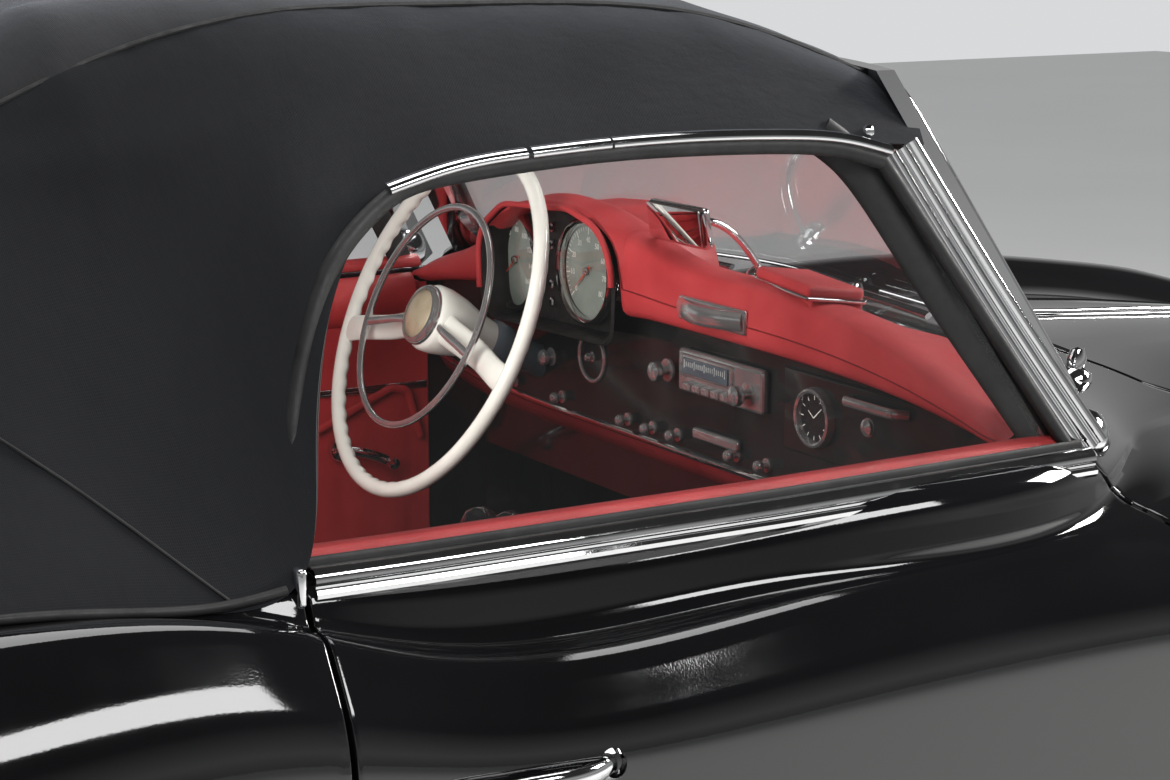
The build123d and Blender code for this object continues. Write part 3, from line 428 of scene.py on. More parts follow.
DIAL = gloss_material("dial_black", (0.008, 0.008, 0.009), (0.016, 0.016, 0.017), (0.25, 0.45), scale=40.0)
DIAL_WHITE = gloss_material("dial_markings", (0.7, 0.7, 0.66), (0.8, 0.8, 0.76), (0.4, 0.6), scale=40.0)
LENS_RED = gloss_material("red_lens", (0.4, 0.012, 0.012), (0.52, 0.02, 0.02), (0.05, 0.12), scale=20.0,
                          peel=0.0004, peel_scale=160.0, coat=1.0)
# Chrome with part of its metal turned into a light grey diffuse tone: a painted reflection that keeps the horn ring,
# dash controls and glovebox trim bright in the dark cabin.
CHROME_PAINTED_SHEEN = gloss_material("chrome_painted_sheen", (0.62, 0.62, 0.63), 0.72, (0.14, 0.24), metallic=0.88, scale=30.0)
HUB_DISC = gloss_material("hub_disc", (0.42, 0.34, 0.23), (0.56, 0.47, 0.34), (0.3, 0.45), metallic=0.4, scale=50.0)
PLATE = gloss_material("plate_enamel", (0.62, 0.62, 0.6), (0.7, 0.7, 0.68), (0.25, 0.4), scale=12.0)
TYRE = tyre_material()
COLUMN_BLUE = gloss_material("column_enamel", (0.05, 0.065, 0.08), (0.08, 0.095, 0.11), (0.15, 0.3), scale=20.0,
                             coat=0.4)
RED_DARK = leather_material("dark_red_leather", (0.13, 0.008, 0.01), (0.2, 0.016, 0.018))
BLACK_SATIN = gloss_material("binnacle_black", 0.006, 0.016, (0.45, 0.65), scale=25.0)
DIAL_GREEN = gloss_material("dial_grey_green", (0.2, 0.23, 0.2), (0.27, 0.3, 0.27), (0.3, 0.5), scale=30.0)
NEEDLE = gloss_material("needle_red", (0.5, 0.04, 0.02), (0.6, 0.07, 0.03), (0.3, 0.5), scale=60.0)
GAUGE_GLASS = glass_material("gauge_glass", (0.95, 0.97, 0.96), 0.04, 0.8)
MIRROR_SILVER = gloss_material("mirror_silver", (0.85, 0.86, 0.87), 0.9, (0.01, 0.03), metallic=1.0)

# Slots with the looks used in them; the first is the look of the solids in that slot
LOOKS = {
    "body_paint": [PAINT], "chrome_trim": [CHROME, CHROME_PAINTED_SHEEN, HUB_DISC, MIRROR_SILVER],
    "clear_glass": [GLASS, GAUGE_GLASS], "lamp_glass": [LAMP_GLASS], "red_lens": [LENS_RED],
    "top_fabric": [CLOTH, CLOTH_PAINTED_LIT, LINING, CARPET], "red_leather": [RED, RED_FINE, RED_DARK],
    "dial_black": [DIAL, DIAL_WHITE, DIAL_GREEN, NEEDLE, BLACK_GLOSS, BLACK_SATIN], "ivory_plastic": [IVORY],
    "grey_metal": [SATIN, STEEL, PLATE, COLUMN_BLUE], "cast_metal": [CAST], "tyre_rubber": [TYRE, RUBBER],
}


# Body skins. Each row is x, then y and z of the half section's corners from sill to deck shoulder,
# then z on the centreline, in millimetres.
SECTIONS = [
    (-2058, (390, 345), (455, 395), (470, 470), (425, 540), (345, 556), (240, 566), 574),
    (-2025, (480, 300), (590, 360), (620, 480), (540, 590), (425, 604), (320, 618), 634),
    (-1935, (560, 270), (700, 340), (730, 520), (605, 662), (475, 650), (350, 672), 700),
    (-1750, (600, 250), (780, 330), (808, 600), (655, 748), (515, 716), (400, 750), 780),
    (-1400, (650, 230), (836, 320), (860, 690), (705, 826), (575, 788), (450, 824), 850),
    (-1015, (700, 215), (850, 320), (876, 745), (740, 880), (612, 842), (490, 878), 904),
    (-700, (740, 210), (846, 320), (871, 770), (776, 880), (694, 862), (610, 882), 895),
    (-420, (760, 210), (836, 320), (863, 768), (806, 852), (778, 846), (757, 876), 887),
    (-270, (760, 210), (836, 320), (860, 738), (812, 804), (779, 809), (757, 876), 886),
    (100, (762, 210), (834, 320), (861, 730), (815, 800), (780, 806), (757, 880), 888),
    (480, (760, 210), (838, 320), (866, 748), (802, 816), (768, 824), (748, 884), 894),
    (700, (745, 215), (844, 320), (871, 758), (762, 830), (640, 830), (520, 870), 900),
    (1000, (720, 220), (846, 320), (875, 764), (718, 850), (560, 804), (330, 852), 876),
    (1385, (680, 230), (842, 320), (871, 744), (694, 862), (522, 790), (280, 824), 846),
    (1650, (640, 240), (808, 325), (838, 690), (660, 840), (486, 752), (255, 780), 802),
    (1850, (590, 265), (744, 335), (775, 630), (625, 800), (452, 694), (240, 716), 738),
    (1950, (540, 295), (670, 350), (700, 570), (585, 728), (430, 645), (240, 662), 682),
    (2022, (480, 320), (600, 375), (625, 520), (525, 630), (400, 600), (240, 612), 628),
    (2060, (400, 350), (470, 400), (488, 480), (440, 550), (350, 560), (230, 568), 576),
]
ROUNDNESS = 0.46
ROWS_ALONG = 370
LIFT = 2.5                 # skin proud of the panel it covers
SHUT = 5.0                 # shut lines
SILL_TOP = 317.0
SKIN_LOW = 235             # lower edge of the wings
DOOR_REAR_X, DOOR_FRONT_X, DOOR_TOP_FRONT_X = -372.0, 560.0, 482.0
DOOR_BEND_Z, BELT_Z = 800.0, 884.0
CABIN_HALF, CABIN_REAR, DASH_X = 700.0, -800.0, 520.0
ARCHES = ((1385.0, 362.0), (-1015.0, 350.0))
ARCH_Z = 330.0
BONNET = ((885, 430), (1960, 300))
BOOT = ((-1005, 470), (-1985, 350))
LID_CORNER = 55.0
LAMP_X, LAMP_Y, LAMP_Z, LAMP_R = 1988.0, 592.0, 655.0, 96.0
GRILLE_HALF, GRILLE_LOW, GRILLE_HIGH = 330.0, 375.0, 545.0


def section_points(row):
    """One section from the right sill over the top to the left sill, with its rounded corners."""
    half = [(row[1][0], row[1][1])] + [tuple(c) for c in row[2:7]] + [(0.0, row[7])]
    loop = half + [(-y, z) for y, z in reversed(half[:-1])]
    count = len(loop)
    out = []
    for i in range(count):
        here = np.array(loop[i], float)
        before = np.array(loop[i - 1], float)
        after = np.array(loop[(i + 1) % count], float)
        reach = ROUNDNESS * min(np.linalg.norm(here - before), np.linalg.norm(after - here))
        back = (before - here) / np.linalg.norm(before - here)
        ahead = (after - here) / np.linalg.norm(after - here)
        weight = math.cos((math.pi - math.acos(np.clip(back @ ahead, -1, 1))) / 2)
        t = np.linspace(0, 1, 9)[:, None]
        start, end = here + back * reach, here + ahead * reach
        arc = start * (1 - t) ** 2 + 2 * weight * t * (1 - t) * here + end * t ** 2
        arc /= (1 - t) ** 2 + 2 * weight * t * (1 - t) + t ** 2
        if out:
            run = np.linspace(0, 1, 9)[1:-1, None]
            out.append(out[-1][-1] * (1 - run) + arc[0] * run)
        out.append(arc)
    flat = np.concatenate(out)
    return np.concatenate([np.full((len(flat), 1), row[0], float), flat], axis=1)


def grid_triangles(n, m):
    i, j = np.meshgrid(np.arange(n - 1), np.arange(m - 1), indexing="ij")
    a = (i * m + j).ravel()
    b, c, d = a + 1, a + m + 1, a + m
    return np.concatenate([np.stack([a, b, c], 1), np.stack([a, c, d], 1)])


def vertex_normals(points, triangles):
    a, b, c = (points[triangles[:, k]] for k in range(3))
    face = np.cross(b - a, c - a)
    normals = np.zeros_like(points)
    for k in range(3):
        np.add.at(normals, triangles[:, k], face)
    return normals / np.maximum(np.linalg.norm(normals, axis=1)[:, None], 1e-12)


def smooth_join(first, second, width):
    """Least of two distances, with a soft corner of this width."""
    h = np.clip(0.5 + 0.5 * (second - first) / width, 0, 1)
    return second * (1 - h) + first * h - width * h * (1 - h)


def add_lamp_pods(points, normals):
    """Raise the wings round each headlamp so that it stands in a faired pod."""
    near = (points[:, 0] > 1560) & (points[:, 2] > 480)
    base, way = points[near], normals[near]
    out = np.zeros(len(base))
    for _ in range(40):
        p = base + way * out[:, None]
        radial = np.hypot(np.abs(p[:, 1]) - LAMP_Y, p[:, 2] - LAMP_Z) - (LAMP_R + 5)
        pod = np.maximum(radial, np.maximum(p[:, 0] - LAMP_X - 4, 1640 - p[:, 0]))
        out = np.clip(out - 0.7 * smooth_join(out, pod, 38.0), 0, 160)
    lifted = points.copy()
    lifted[near] = base + way * out[:, None]
    return lifted


def hull_surface():
    table = np.array([section_points(row) for row in SECTIONS])
    run = chord(table)
    places = np.linspace(0, run[-1], ROWS_ALONG)
    points = natural_spline(run, table, places)
    n, m = points.shape[:2]
    flat = points.reshape(-1, 3)
    triangles = grid_triangles(n, m)
    normals = vertex_normals(flat, triangles)
    if (normals[:, 1] * np.sign(flat[:, 1])).mean() < 0:
        normals = -normals
        triangles = triangles[:, ::-1]
    flat = add_lamp_pods(flat, normals)
    return flat + vertex_normals(flat, triangles) * LIFT, triangles


def polygon_distance(p, corners):
    """How far inside a polygon each point lies; negative outside."""
    corners = np.asarray(corners, float)
    best = np.full(len(p), 1e9)
    crossings = np.zeros(len(p), int)
    for a, b in zip(corners, np.roll(corners, -1, axis=0)):
        run = b - a
        t = np.clip(((p - a) @ run) / (run @ run), 0, 1)
        best = np.minimum(best, np.linalg.norm(p - (a + t[:, None] * run), axis=1))
        spans = (a[1] <= p[:, 1]) != (b[1] <= p[:, 1])
        with np.errstate(divide="ignore", invalid="ignore"):
            cross = a[0] + (p[:, 1] - a[1]) * run[0] / run[1]
        crossings += (spans & (p[:, 0] < cross)).astype(int)
    return np.where(crossings % 2 == 1, best, -best)


def door_region(grow):
    corners = [
        (DOOR_REAR_X - grow, SILL_TOP + SHUT - grow), (DOOR_FRONT_X + grow, SILL_TOP + SHUT - grow),
        (DOOR_FRONT_X + grow, DOOR_BEND_Z + grow / 2), (DOOR_TOP_FRONT_X + grow, BELT_Z + 4),
        (DOOR_TOP_FRONT_X + grow, BELT_Z + 300), (DOOR_REAR_X - grow, BELT_Z + 300),
    ]

    def inside(p):
        side = polygon_distance(p[:, [0, 2]], corners)
        return np.minimum(side, np.abs(p[:, 1]) - CABIN_HALF)
    return inside


def lid_region(lid, grow):
    (x0, half0), (x1, half1) = lid
    way = 1 if x1 > x0 else -1
    inner = LID_CORNER
    corners = [(x0 + way * inner, -half0 + inner), (x1 - way * inner, -half1 + inner),
               (x1 - way * inner, half1 - inner), (x0 + way * inner, half0 - inner)]

    def inside(p):
        plan = polygon_distance(p[:, :2], corners) + inner + grow
        return np.minimum(plan, p[:, 2] - 450)
    return inside


def arch_free(p):
    """Positive outside both wheel arches."""
    out = np.full(len(p), 1e9)
    for x, radius in ARCHES:
        round_part = np.hypot(p[:, 0] - x, p[:, 2] - ARCH_Z) - radius
        straight = np.abs(p[:, 0] - x) - radius
        here = np.where(p[:, 2] > ARCH_Z, round_part, straight)
        out = np.minimum(out, np.where(np.abs(p[:, 1]) > 350, here, 1e9))
    return out


def cabin_free(p):
    """Positive outside the cabin's opening in the deck."""
    inside = np.minimum.reduce([p[:, 0] - CABIN_REAR, DASH_X - p[:, 0], CABIN_HALF - np.abs(p[:, 1]), p[:, 2] - 500])
    return -inside


def nose_free(p):
    """Positive outside the grille opening and the headlamps."""
    y = np.abs(p[:, 1]) - (GRILLE_HALF - 40)
    z = np.abs(p[:, 2] - (GRILLE_LOW + GRILLE_HIGH) / 2) - ((GRILLE_HIGH - GRILLE_LOW) / 2 - 40)
    grille_gap = np.hypot(np.maximum(y, 0), np.maximum(z, 0)) + np.minimum(np.maximum(y, z), 0) - 40
    grille_gap = np.where(p[:, 0] > 1900, grille_gap, 1e9)
    lamp = np.hypot(np.abs(p[:, 1]) - LAMP_Y, p[:, 2] - LAMP_Z) - (LAMP_R - 1)
    lamp = np.where(p[:, 0] > LAMP_X - 14, lamp, 1e9)
    return np.minimum(grille_gap, lamp)


def clip(points, triangles, region):
    """The part of a triangle mesh where region is positive, cut along its zero."""
    field = region(points)
    inside = field >= 0
    count = inside[triangles].sum(axis=1)
    kept = [triangles[count == 3]]
    made = {}
    extra = []

    def cut(a, b):
        key = (min(a, b), max(a, b))
        if key not in made:
            t = field[a] / (field[a] - field[b])
            made[key] = len(points) + len(extra)
            extra.append(points[a] + (points[b] - points[a]) * t)
        return made[key]

    new = []
    for triangle in triangles[(count == 1) | (count == 2)]:
        for k in range(3):
            a, b, c = (int(triangle[(k + s) % 3]) for s in range(3))
            if inside[a] and not inside[b] and not inside[c]:
                new.append((a, cut(a, b), cut(a, c)))
            if not inside[a] and inside[b] and inside[c]:
                ab, ac = cut(a, b), cut(a, c)
                new += [(ab, b, c), (ab, c, ac)]
    if new:
        kept.append(np.array(new))
        points = np.concatenate([points, np.array(extra)])
    triangles = np.concatenate(kept)
    used, index = np.unique(triangles, return_inverse=True)
    return points[used], index.reshape(-1, 3)


def open_edges(triangles):
    """Edges that only one triangle uses."""
    edges = np.concatenate([triangles[:, [0, 1]], triangles[:, [1, 2]], triangles[:, [2, 0]]])
    _, first, uses = np.unique(np.sort(edges, axis=1), axis=0, return_index=True, return_counts=True)
    return edges[first[uses == 1]]


def rolled_edge(points, triangles, roll=2.5, depth=9.0):
    """Turn every open edge of a panel inwards, as a pressed panel's edge is."""
    normals = vertex_normals(points, triangles)
    rim = open_edges(triangles)
    long_enough = np.linalg.norm(points[rim[:, 0]] - points[rim[:, 1]], axis=1) > 1e-6
    outward = np.zeros_like(points)
    along = points[rim[:, 1]] - points[rim[:, 0]]
    sideways = np.cross(along, normals[rim[:, 0]])
    sideways[~long_enough] = 0
    np.add.at(outward, rim[:, 0], sideways)
    np.add.at(outward, rim[:, 1], sideways)
    ids = np.unique(rim)
    outward = outward[ids] / np.maximum(np.linalg.norm(outward[ids], axis=1)[:, None], 1e-9)
    inward = -normals[ids]
    rows = []
    for angle in (30, 60, 90):
        a = math.radians(angle)
        rows.append(points[ids] + outward * roll * math.sin(a) + inward * roll * (1 - math.cos(a)))
    rows.append(rows[-1] + inward * depth)
    place = {int(v): k for k, v in enumerate(ids)}
    total = len(points)
    faces = []
    levels = [ids] + [total + len(ids) * k + np.arange(len(ids)) for k in range(len(rows))]
    for a, b in rim:
        ka, kb = place[int(a)], place[int(b)]
        for low, high in zip(levels, levels[1:]):
            faces.append([int(low[kb]), int(low[ka]), int(high[ka]), int(high[kb])])
    return np.concatenate([points] + rows), faces


def body_skin(name, regions, body="chassis"):
    points, triangles = HULL_POINTS, HULL_TRIANGLES
    for region in regions:
        points, triangles = clip(points, triangles, region)
    points, rim = rolled_edge(points, triangles)
    shape = Shape().add(points * MM, triangles.tolist() + rim)
    return shape.make(name, PAINT, 50, body)


def outside(region):
    return lambda p: -region(p)


def above_sill(p):
    return p[:, 2] - SKIN_LOW


def only(axis, low, high):
    return lambda p: np.minimum(p[:, axis] - low, high - p[:, axis])


EDGE = 2.5                 # the rolled edge reaches this far past the cut
HULL_POINTS, HULL_TRIANGLES = hull_surface()
front_regions = [only(0, DASH_X - 45, 2200), above_sill, outside(door_region(SHUT + EDGE)),
                 outside(lid_region(BONNET, SHUT + EDGE)), arch_free, cabin_free, nose_free]
body_skin("skin_front_wings", front_regions)
body_skin("skin_rear_wings", [only(0, -2200, DOOR_REAR_X - SHUT - EDGE), above_sill, arch_free, cabin_free,
                              outside(lid_region(BOOT, SHUT + EDGE))])
body_skin("skin_bonnet", [lid_region(BONNET, -EDGE)], "bonnet")
body_skin("skin_boot_lid", [lid_region(BOOT, -EDGE)], "boot_lid")
for side, way in (("left", 1), ("right", -1)):
    body_skin("skin_door_" + side, [door_region(-EDGE), lambda p, way=way: p[:, 1] * way], "door_" + side)
    body_skin("skin_sill_" + side, [only(0, DOOR_REAR_X - SHUT, DOOR_FRONT_X + SHUT),
                                    only(2, 225, SILL_TOP - 2), lambda p, way=way: p[:, 1] * way - 400])


# Soft top. Each row is one station from the header back to the rear deck, on the right side, in
# millimetres: seam x, y, z, lower edge x, y, z, then x and z on the centreline. Where a z is None,
# the cloth comes down to the deck.
TOP_STATIONS = [
    (362, -578, 1240, 352, -640, 1190, 452, 1284),
    (167, -545, 1312, 181, -640, 1200, 215, 1327),
    (9, -525, 1329, 0, -640, 1204, 30, 1347),
    (-160, -520, 1331, -171, -641, 1192, -160, 1353),
    (-260, -519, 1330, -250, -650, 1165, -265, 1352),
    (-330, -516, 1322, -310, -690, 1090, -340, 1345),
    (-400, -510, 1306, -345, -730, 985, -415, 1330),
    (-460, -504, 1285, -374, -768, 884, -480, 1308),
    (-560, -490, 1240, -500, -766, None, -585, 1262),
    (-660, -472, 1182, -640, -762, None, -690, 1203),
    (-760, -455, 1095, -770, -722, None, -795, 1112),
    (-850, -440, 985, -860, -632, None, -885, 1000),
    (-905, -430, None, -900, -500, None, -950, None),
]
SIDE_BULGE = 9.0
REAR_PANE = ((-330, 1040), (330, 1040), (290, 1215), (-290, 1215))
PANE_CORNER = 45.0
REAR_PANEL_X = -380         # the rear panel lies behind this


HULL_TOP = HULL_POINTS[HULL_POINTS[:, 2] > 560]


def drop_height(x, y):
    """Height of the body skin below a point, in millimetres."""
    near = np.argmin((HULL_TOP[:, 0] - x) ** 2 + (HULL_TOP[:, 1] - y) ** 2)
    return HULL_TOP[near, 2]


def top_net():
    net = []
    for ux, uy, uz, lx, ly, lz, cx, cz in TOP_STATIONS:
        low = np.array([lx, ly, drop_height(lx, ly) + 2 if lz is None else lz], float)
        seam = np.array([ux, uy, drop_height(ux, uy) + 3 if uz is None else uz], float)
        crown = np.array([cx, 0, drop_height(cx, 0) + 3 if cz is None else cz], float)
        side = low + (seam - low) * 0.52
        outward = np.cross(seam - low, [1.0, 0, 0])
        outward *= -np.sign(outward[1]) / max(np.linalg.norm(outward), 1e-9)
        side = side + outward * SIDE_BULGE
        shoulder = seam * 0.5 + crown * 0.5
        shoulder[2] = seam[2] + (crown[2] - seam[2]) * 0.76
        shoulder[0] = seam[0] + (crown[0] - seam[0]) * 0.76
        half = [low, side, seam, shoulder]
        net.append(half + [crown] + [p * np.array([1, -1, 1]) for p in reversed(half)])
    return np.array(net)


TOP_NET = top_net()
TOP_S = chord(TOP_NET)
TOP_V = chord(TOP_NET.transpose(1, 0, 2))
STATION_IDS = np.arange(len(TOP_S))


def top_grid(stations, across):
    """Points of the cloth at these stations (0 header, 12 rear) and places across (0 right hem, 8 left hem)."""
    s = np.interp(stations, STATION_IDS, TOP_S)
    v = np.interp(across, np.arange(9), TOP_V)
    rows = natural_spline(TOP_S, TOP_NET, s)
    return natural_spline(TOP_V, rows.transpose(1, 0, 2), v).transpose(1, 0, 2)


def top_line(stations, across, lift=0.0):
    """A line drawn on the cloth through pairs of station and place across."""
    points = []
    for s, v in zip(stations, across):
        grid = top_grid(np.array([s - 0.02, s + 0.02]), np.array([v - 0.02, v + 0.02]))
        out = np.cross(grid[1, 0] - grid[0, 0], grid[0, 1] - grid[0, 0])
        out *= np.sign(out[2] if abs(out[2]) > 1e-3 else 1) / np.linalg.norm(out)
        points.append(grid.mean(axis=(0, 1)) + out * lift)
    return np.array(points) * MM


BOW_X = (150, -170, -470)


def cloth_waves(s, v, points):
    """Gentle hollows between the bows, drawn folds at the rear quarter and slight puckers at the seams."""
    x, y, z = points[..., 0], points[..., 1], points[..., 2]
    side = np.minimum(v, 8 - v)
    wave = 1.6 * np.sin(x / 61 + y / 90) * np.sin(z / 47 + x / 130)
    wave += 0.7 * np.sin(x / 23 - z / 31) * np.cos(y / 37)
    bows = sum(np.exp(-((x - bow) / 26) ** 2) for bow in BOW_X)
    wave += 2.6 * bows * np.clip((side - 1.2) / 0.8, 0, 1)
    fold = np.exp(-((side - 1.25 - 0.16 * (s - 5)) / 0.1) ** 2) * np.exp(-((s - 7.5) / 2.0) ** 2)
    wave += 2.2 * fold
    seam = np.exp(-((side - 2.0) / 0.09) ** 2)
    wave += seam * (0.5 + 0.35 * np.sin(x / 6.5))
    hem = np.exp(-(side / 0.1) ** 2)
    return wave * (1 - 0.75 * hem) * np.clip(s / 0.4, 0, 1)


def pane_region(grow):
    corners = [(y - math.copysign(PANE_CORNER, y), z + (PANE_CORNER if z < 1100 else -PANE_CORNER))
               for y, z in REAR_PANE]

    def inside(p):
        flat = polygon_distance(p[:, 1:3], corners) + PANE_CORNER + grow
        return np.minimum(flat, -400 - p[:, 0])
    return inside


def cloth_top(rows=190, side=34, middle=56):
    stations = np.linspace(0, 12, rows)
    across = np.concatenate([np.linspace(0, 2, side)[:-1], np.linspace(2, 6, middle)[:-1], np.linspace(6, 8, side)])
    points = top_grid(stations, across)
    s, v = np.meshgrid(stations, across, indexing="ij")
    run = np.gradient(points, axis=0)
    over = np.gradient(points, axis=1)
    normals = np.cross(run, over)
    normals /= np.maximum(np.linalg.norm(normals, axis=2)[..., None], 1e-9)
    normals *= np.sign(normals[rows // 3, len(across) // 2, 2])
    points = points + normals * cloth_waves(s, v, points)[..., None]
    u_run = np.interp(stations, STATION_IDS, TOP_S) * MM
    v_run = np.interp(across, np.arange(9), TOP_V) * MM
    uv = np.stack(np.meshgrid(u_run, v_run, indexing="ij"), axis=2)
    flat = np.concatenate([points, normals, uv], axis=2).reshape(-1, 8)
    return flat, grid_triangles(*points.shape[:2])


CLOTH_THICK = 2.4


def add_sheet(name, flat, triangles, materials, slot_of, thick):
    """Closed thin sheet from a surface whose columns are place, normal and cloth coordinates."""
    points, normals, uv = flat[:, :3], flat[:, 3:6], flat[:, 6:8]
    rim = open_edges(triangles)
    total = len(points)
    back = triangles[:, ::-1] + total
    sides = np.stack([rim[:, 1], rim[:, 0], rim[:, 0] + total, rim[:, 1] + total], axis=1)
    shape = Shape()
    both = np.concatenate([points, points - normals * thick]) * MM
    shape.add(both, triangles.tolist() + back.tolist() + sides.tolist(), np.concatenate([uv, uv]))
    shape.slots = slot_of(np.array([both[list(f)].mean(axis=0) for f in shape.faces]) / MM)
    return shape.make(name, materials, 60, slot="top_fabric")


def roof_slots(centres):
    """The centre panel between the seams gets the lighter copy of the cloth: painted light on the top, which faces the
    lamps overhead.
    """
    seam = np.interp(centres[:, 0], [row[0] for row in TOP_STATIONS][::-1], [-row[1] for row in TOP_STATIONS][::-1])
    return (np.abs(centres[:, 1]) < seam).astype(int).tolist()


whole_top, top_triangles = cloth_top()
flat, triangles = clip(whole_top, top_triangles, outside(pane_region(0)))
way = vertex_normals(flat[:, :3], triangles)
if (way * flat[:, 3:6]).sum() < 0:
    triangles = triangles[:, ::-1]
roof = add_sheet("roof_cloth", flat, triangles, [CLOTH, CLOTH_PAINTED_LIT], roof_slots, CLOTH_THICK)
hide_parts("soft_top")

lining, lining_triangles = clip(*cloth_top(96, 18, 30), outside(pane_region(0)))
if (vertex_normals(lining[:, :3], lining_triangles) * lining[:, 3:6]).sum() < 0:
    lining_triangles = lining_triangles[:, ::-1]
lining[:, :3] -= lining[:, 3:6] * 9
inner = add_sheet("roof_lining", lining, lining_triangles, [LINING], lambda c: [0] * len(c), 1.5)

piping = Shape()
for across in (2.0, 6.0):
    piping.tube(top_line(np.linspace(0.02, 11.98, 120), np.full(120, across), 1.5), 2.6 * MM, 8)
for mirror_across in (1, -1):
    places = np.array([0.0, 0.5, 1.0, 1.5, 2.0])
    line_s = np.interp(np.linspace(0, 2, 40), places, [7.55, 8.25, 9.0, 9.65, 10.2])
    line_v = np.linspace(0.02, 1.98, 40)
    line_v = line_v if mirror_across > 0 else 8 - line_v
    piping.tube(top_line(line_s, line_v, 0.6), 1.5 * MM, 8)
piping.make("roof_piping", RUBBER, slot="top_fabric")


def on_rear_cloth(cloth, ring, out):
    """Bring a line drawn in y and z onto the rear panel of the cloth."""
    near = cloth[cloth[:, 0] < REAR_PANEL_X]
    depth = [near[np.argmin((near[:, 1] - p[1]) ** 2 + (near[:, 2] - p[2]) ** 2), 0] for p in ring]
    return np.stack([np.array(depth) - out, ring[:, 1], ring[:, 2]], axis=1) * MM


stitches = Shape()
for grow in (16, 22):
    corners = [(y - math.copysign(grow * -1, y), z + (-grow if z < 1100 else grow)) for y, z in REAR_PANE]
    ring = rounded_path([(0, y, z) for y, z in corners], PANE_CORNER + grow, 8, closed=True)
    ring = np.concatenate([np.linspace(a, b, 24, endpoint=False) for a, b in zip(ring, np.roll(ring, -1, axis=0))
                           if np.linalg.norm(a - b) > 0.5])
    stitches.tube(on_rear_cloth(flat, ring, 0.8), 0.7 * MM, 5, (1, 0.01, 0), closed=True)
stitches.make("rear_window_stitching", RUBBER, slot="top_fabric")


# Rear window: a clear pane with a dark bead, following the cloth
pane, pane_triangles = clip(whole_top, top_triangles, pane_region(10))
pane_points = (pane[:, :3] - pane[:, 3:6] * 4) * MM
rear_pane = Shape().add(pane_points, pane_triangles.tolist())
rear_pane.make("rear_window_pane", GLASS, replaces=["rear_window"])
bead_line = rounded_path([(0, y, z) for y, z in REAR_PANE], PANE_CORNER, 10, closed=True)
rear_bead = Shape().tube(on_rear_cloth(whole_top, bead_line, 1), 4 * MM, 8, (1, 0.01, 0), closed=True)
rear_bead.make("rear_window_bead", RUBBER, slot="top_fabric")


# Side windows
def glass_y(z):
    """How far out the leaning side glass stands at a height, in millimetres."""
    return 738 - (z - 890) * 96 / 307


def on_glass(places, out=0.0):
    return np.array([(x, -(glass_y(z) + out), z) for x, z in places]) * MM


WINDOW_EDGE = [(-369, 886), (-366, 940), (-354, 1006), (-330, 1070), (-300, 1122), (-262, 1158), (-226, 1179),
               (-171, 1190), (-88, 1197), (-4, 1201), (90, 1201), (181, 1198), (250, 1190), (292, 1178)]
PILLAR = [(292, 1180), (352, 1078), (410, 980), (464, 888)]
DOME = [(math.cos(a), math.sin(a)) for a in np.linspace(-0.3, math.pi + 0.3, 12)]


def dome(wide, high):
    return [(x * wide / 2 * MM, y * high * MM) for x, y in DOME]


def fluted(wide, high, flutes):
    """Chrome strip profile with rounded ridges between fine grooves, as (side, up)."""
    points = [(-wide / 2, -high)]
    each = wide / flutes
    for k in range(flutes):
        for t in np.linspace(0.04, 0.96, 7):
            points.append((-wide / 2 + each * (k + t), high * math.sin(math.pi * t) ** 0.6))
    points.append((wide / 2, -high))
    return [(a * MM, b * MM) for a, b in points]


def both_sides(shape, name, material, angle=38.0, doors=False, slot=None):
    """Make a right-hand piece and its mirror image."""
    for side, piece in (("right", shape), ("left", shape.mirrored())):
        piece.make(name + "_" + side, material, angle, "door_" + side if doors else "chassis", slot)


edge_path = smooth_path(on_glass(WINDOW_EDGE, 4), 140)
outward = np.array([0.0, -0.955, -0.296])
seal = Shape().sweep(edge_path, dome(17, 9), outward)
pillar_path = smooth_path(on_glass(PILLAR, 3), 40)
seal.sweep(pillar_path, dome(15, 8), outward)
INNER_PILLAR = [(236, 1204), (262, 1184), (284, 1157), (306, 1121), (335, 1071), (394, 976), (450, 888)]
inner_path = smooth_path(on_glass(INNER_PILLAR, -15), 60)
seal.sweep(inner_path, dome(38, 6), outward)
both_sides(seal, "window_seal", RUBBER)

rail_line = [(-240, 1182), (-171, 1198), (-88, 1206), (-4, 1210), (90, 1211), (181, 1208), (250, 1201), (300, 1188)]
rail = Shape()
for low, high in ((0.0, 0.265), (0.272, 0.425), (0.432, 1.0)):
    path = smooth_path(on_glass(rail_line, 9), 200)
    part = path[int(low * 199):int(high * 199) + 1]
    rail.sweep(part, dome(11, 8), outward)
both_sides(rail, "side_rail", CHROME)

pillar_line = [(318, 1190), (375, 1085), (434, 983), (492, 890)]
pillar = Shape().sweep(smooth_path(on_glass(pillar_line, 6), 60), fluted(36, 5, 3), outward)
inner_line = [(296, 1184), (356, 1082), (414, 982), (468, 890)]
pillar.sweep(smooth_path(on_glass(inner_line, 2), 60), fluted(9, 4, 1), outward)
both_sides(pillar, "pillar_trim", CHROME)
cap = Shape().lathe([(0.0005, 0.016), (0.010, 0.015), (0.019, 0.011), (0.026, 0.003), (0.028, -0.012)],
                    (0.530, -0.700, 0.892), (0.45, -0.72, 0.35), 32)
both_sides(cap, "screen_corner_cap", CHROME)

# Door glass: a thin bright channel down its rear edge, and its pane keeps the clear glass
edge = Shape().sweep(smooth_path(on_glass([(-366, 884), (-358, 960), (-344, 1030), (-322, 1095)], 1), 40),
                     dome(7, 5), outward)
both_sides(edge, "door_glass_channel", CHROME, doors=True)


# Belt line
BELT_PROFILE = [(-8, -16), (5, -16), (9, -15), (11, -12), (11.5, -8), (10, -5), (7.5, -4), (7.5, -2), (9, 1),
                (8.5, 5), (6, 9), (2, 12), (-3, 13), (-8, 12)]


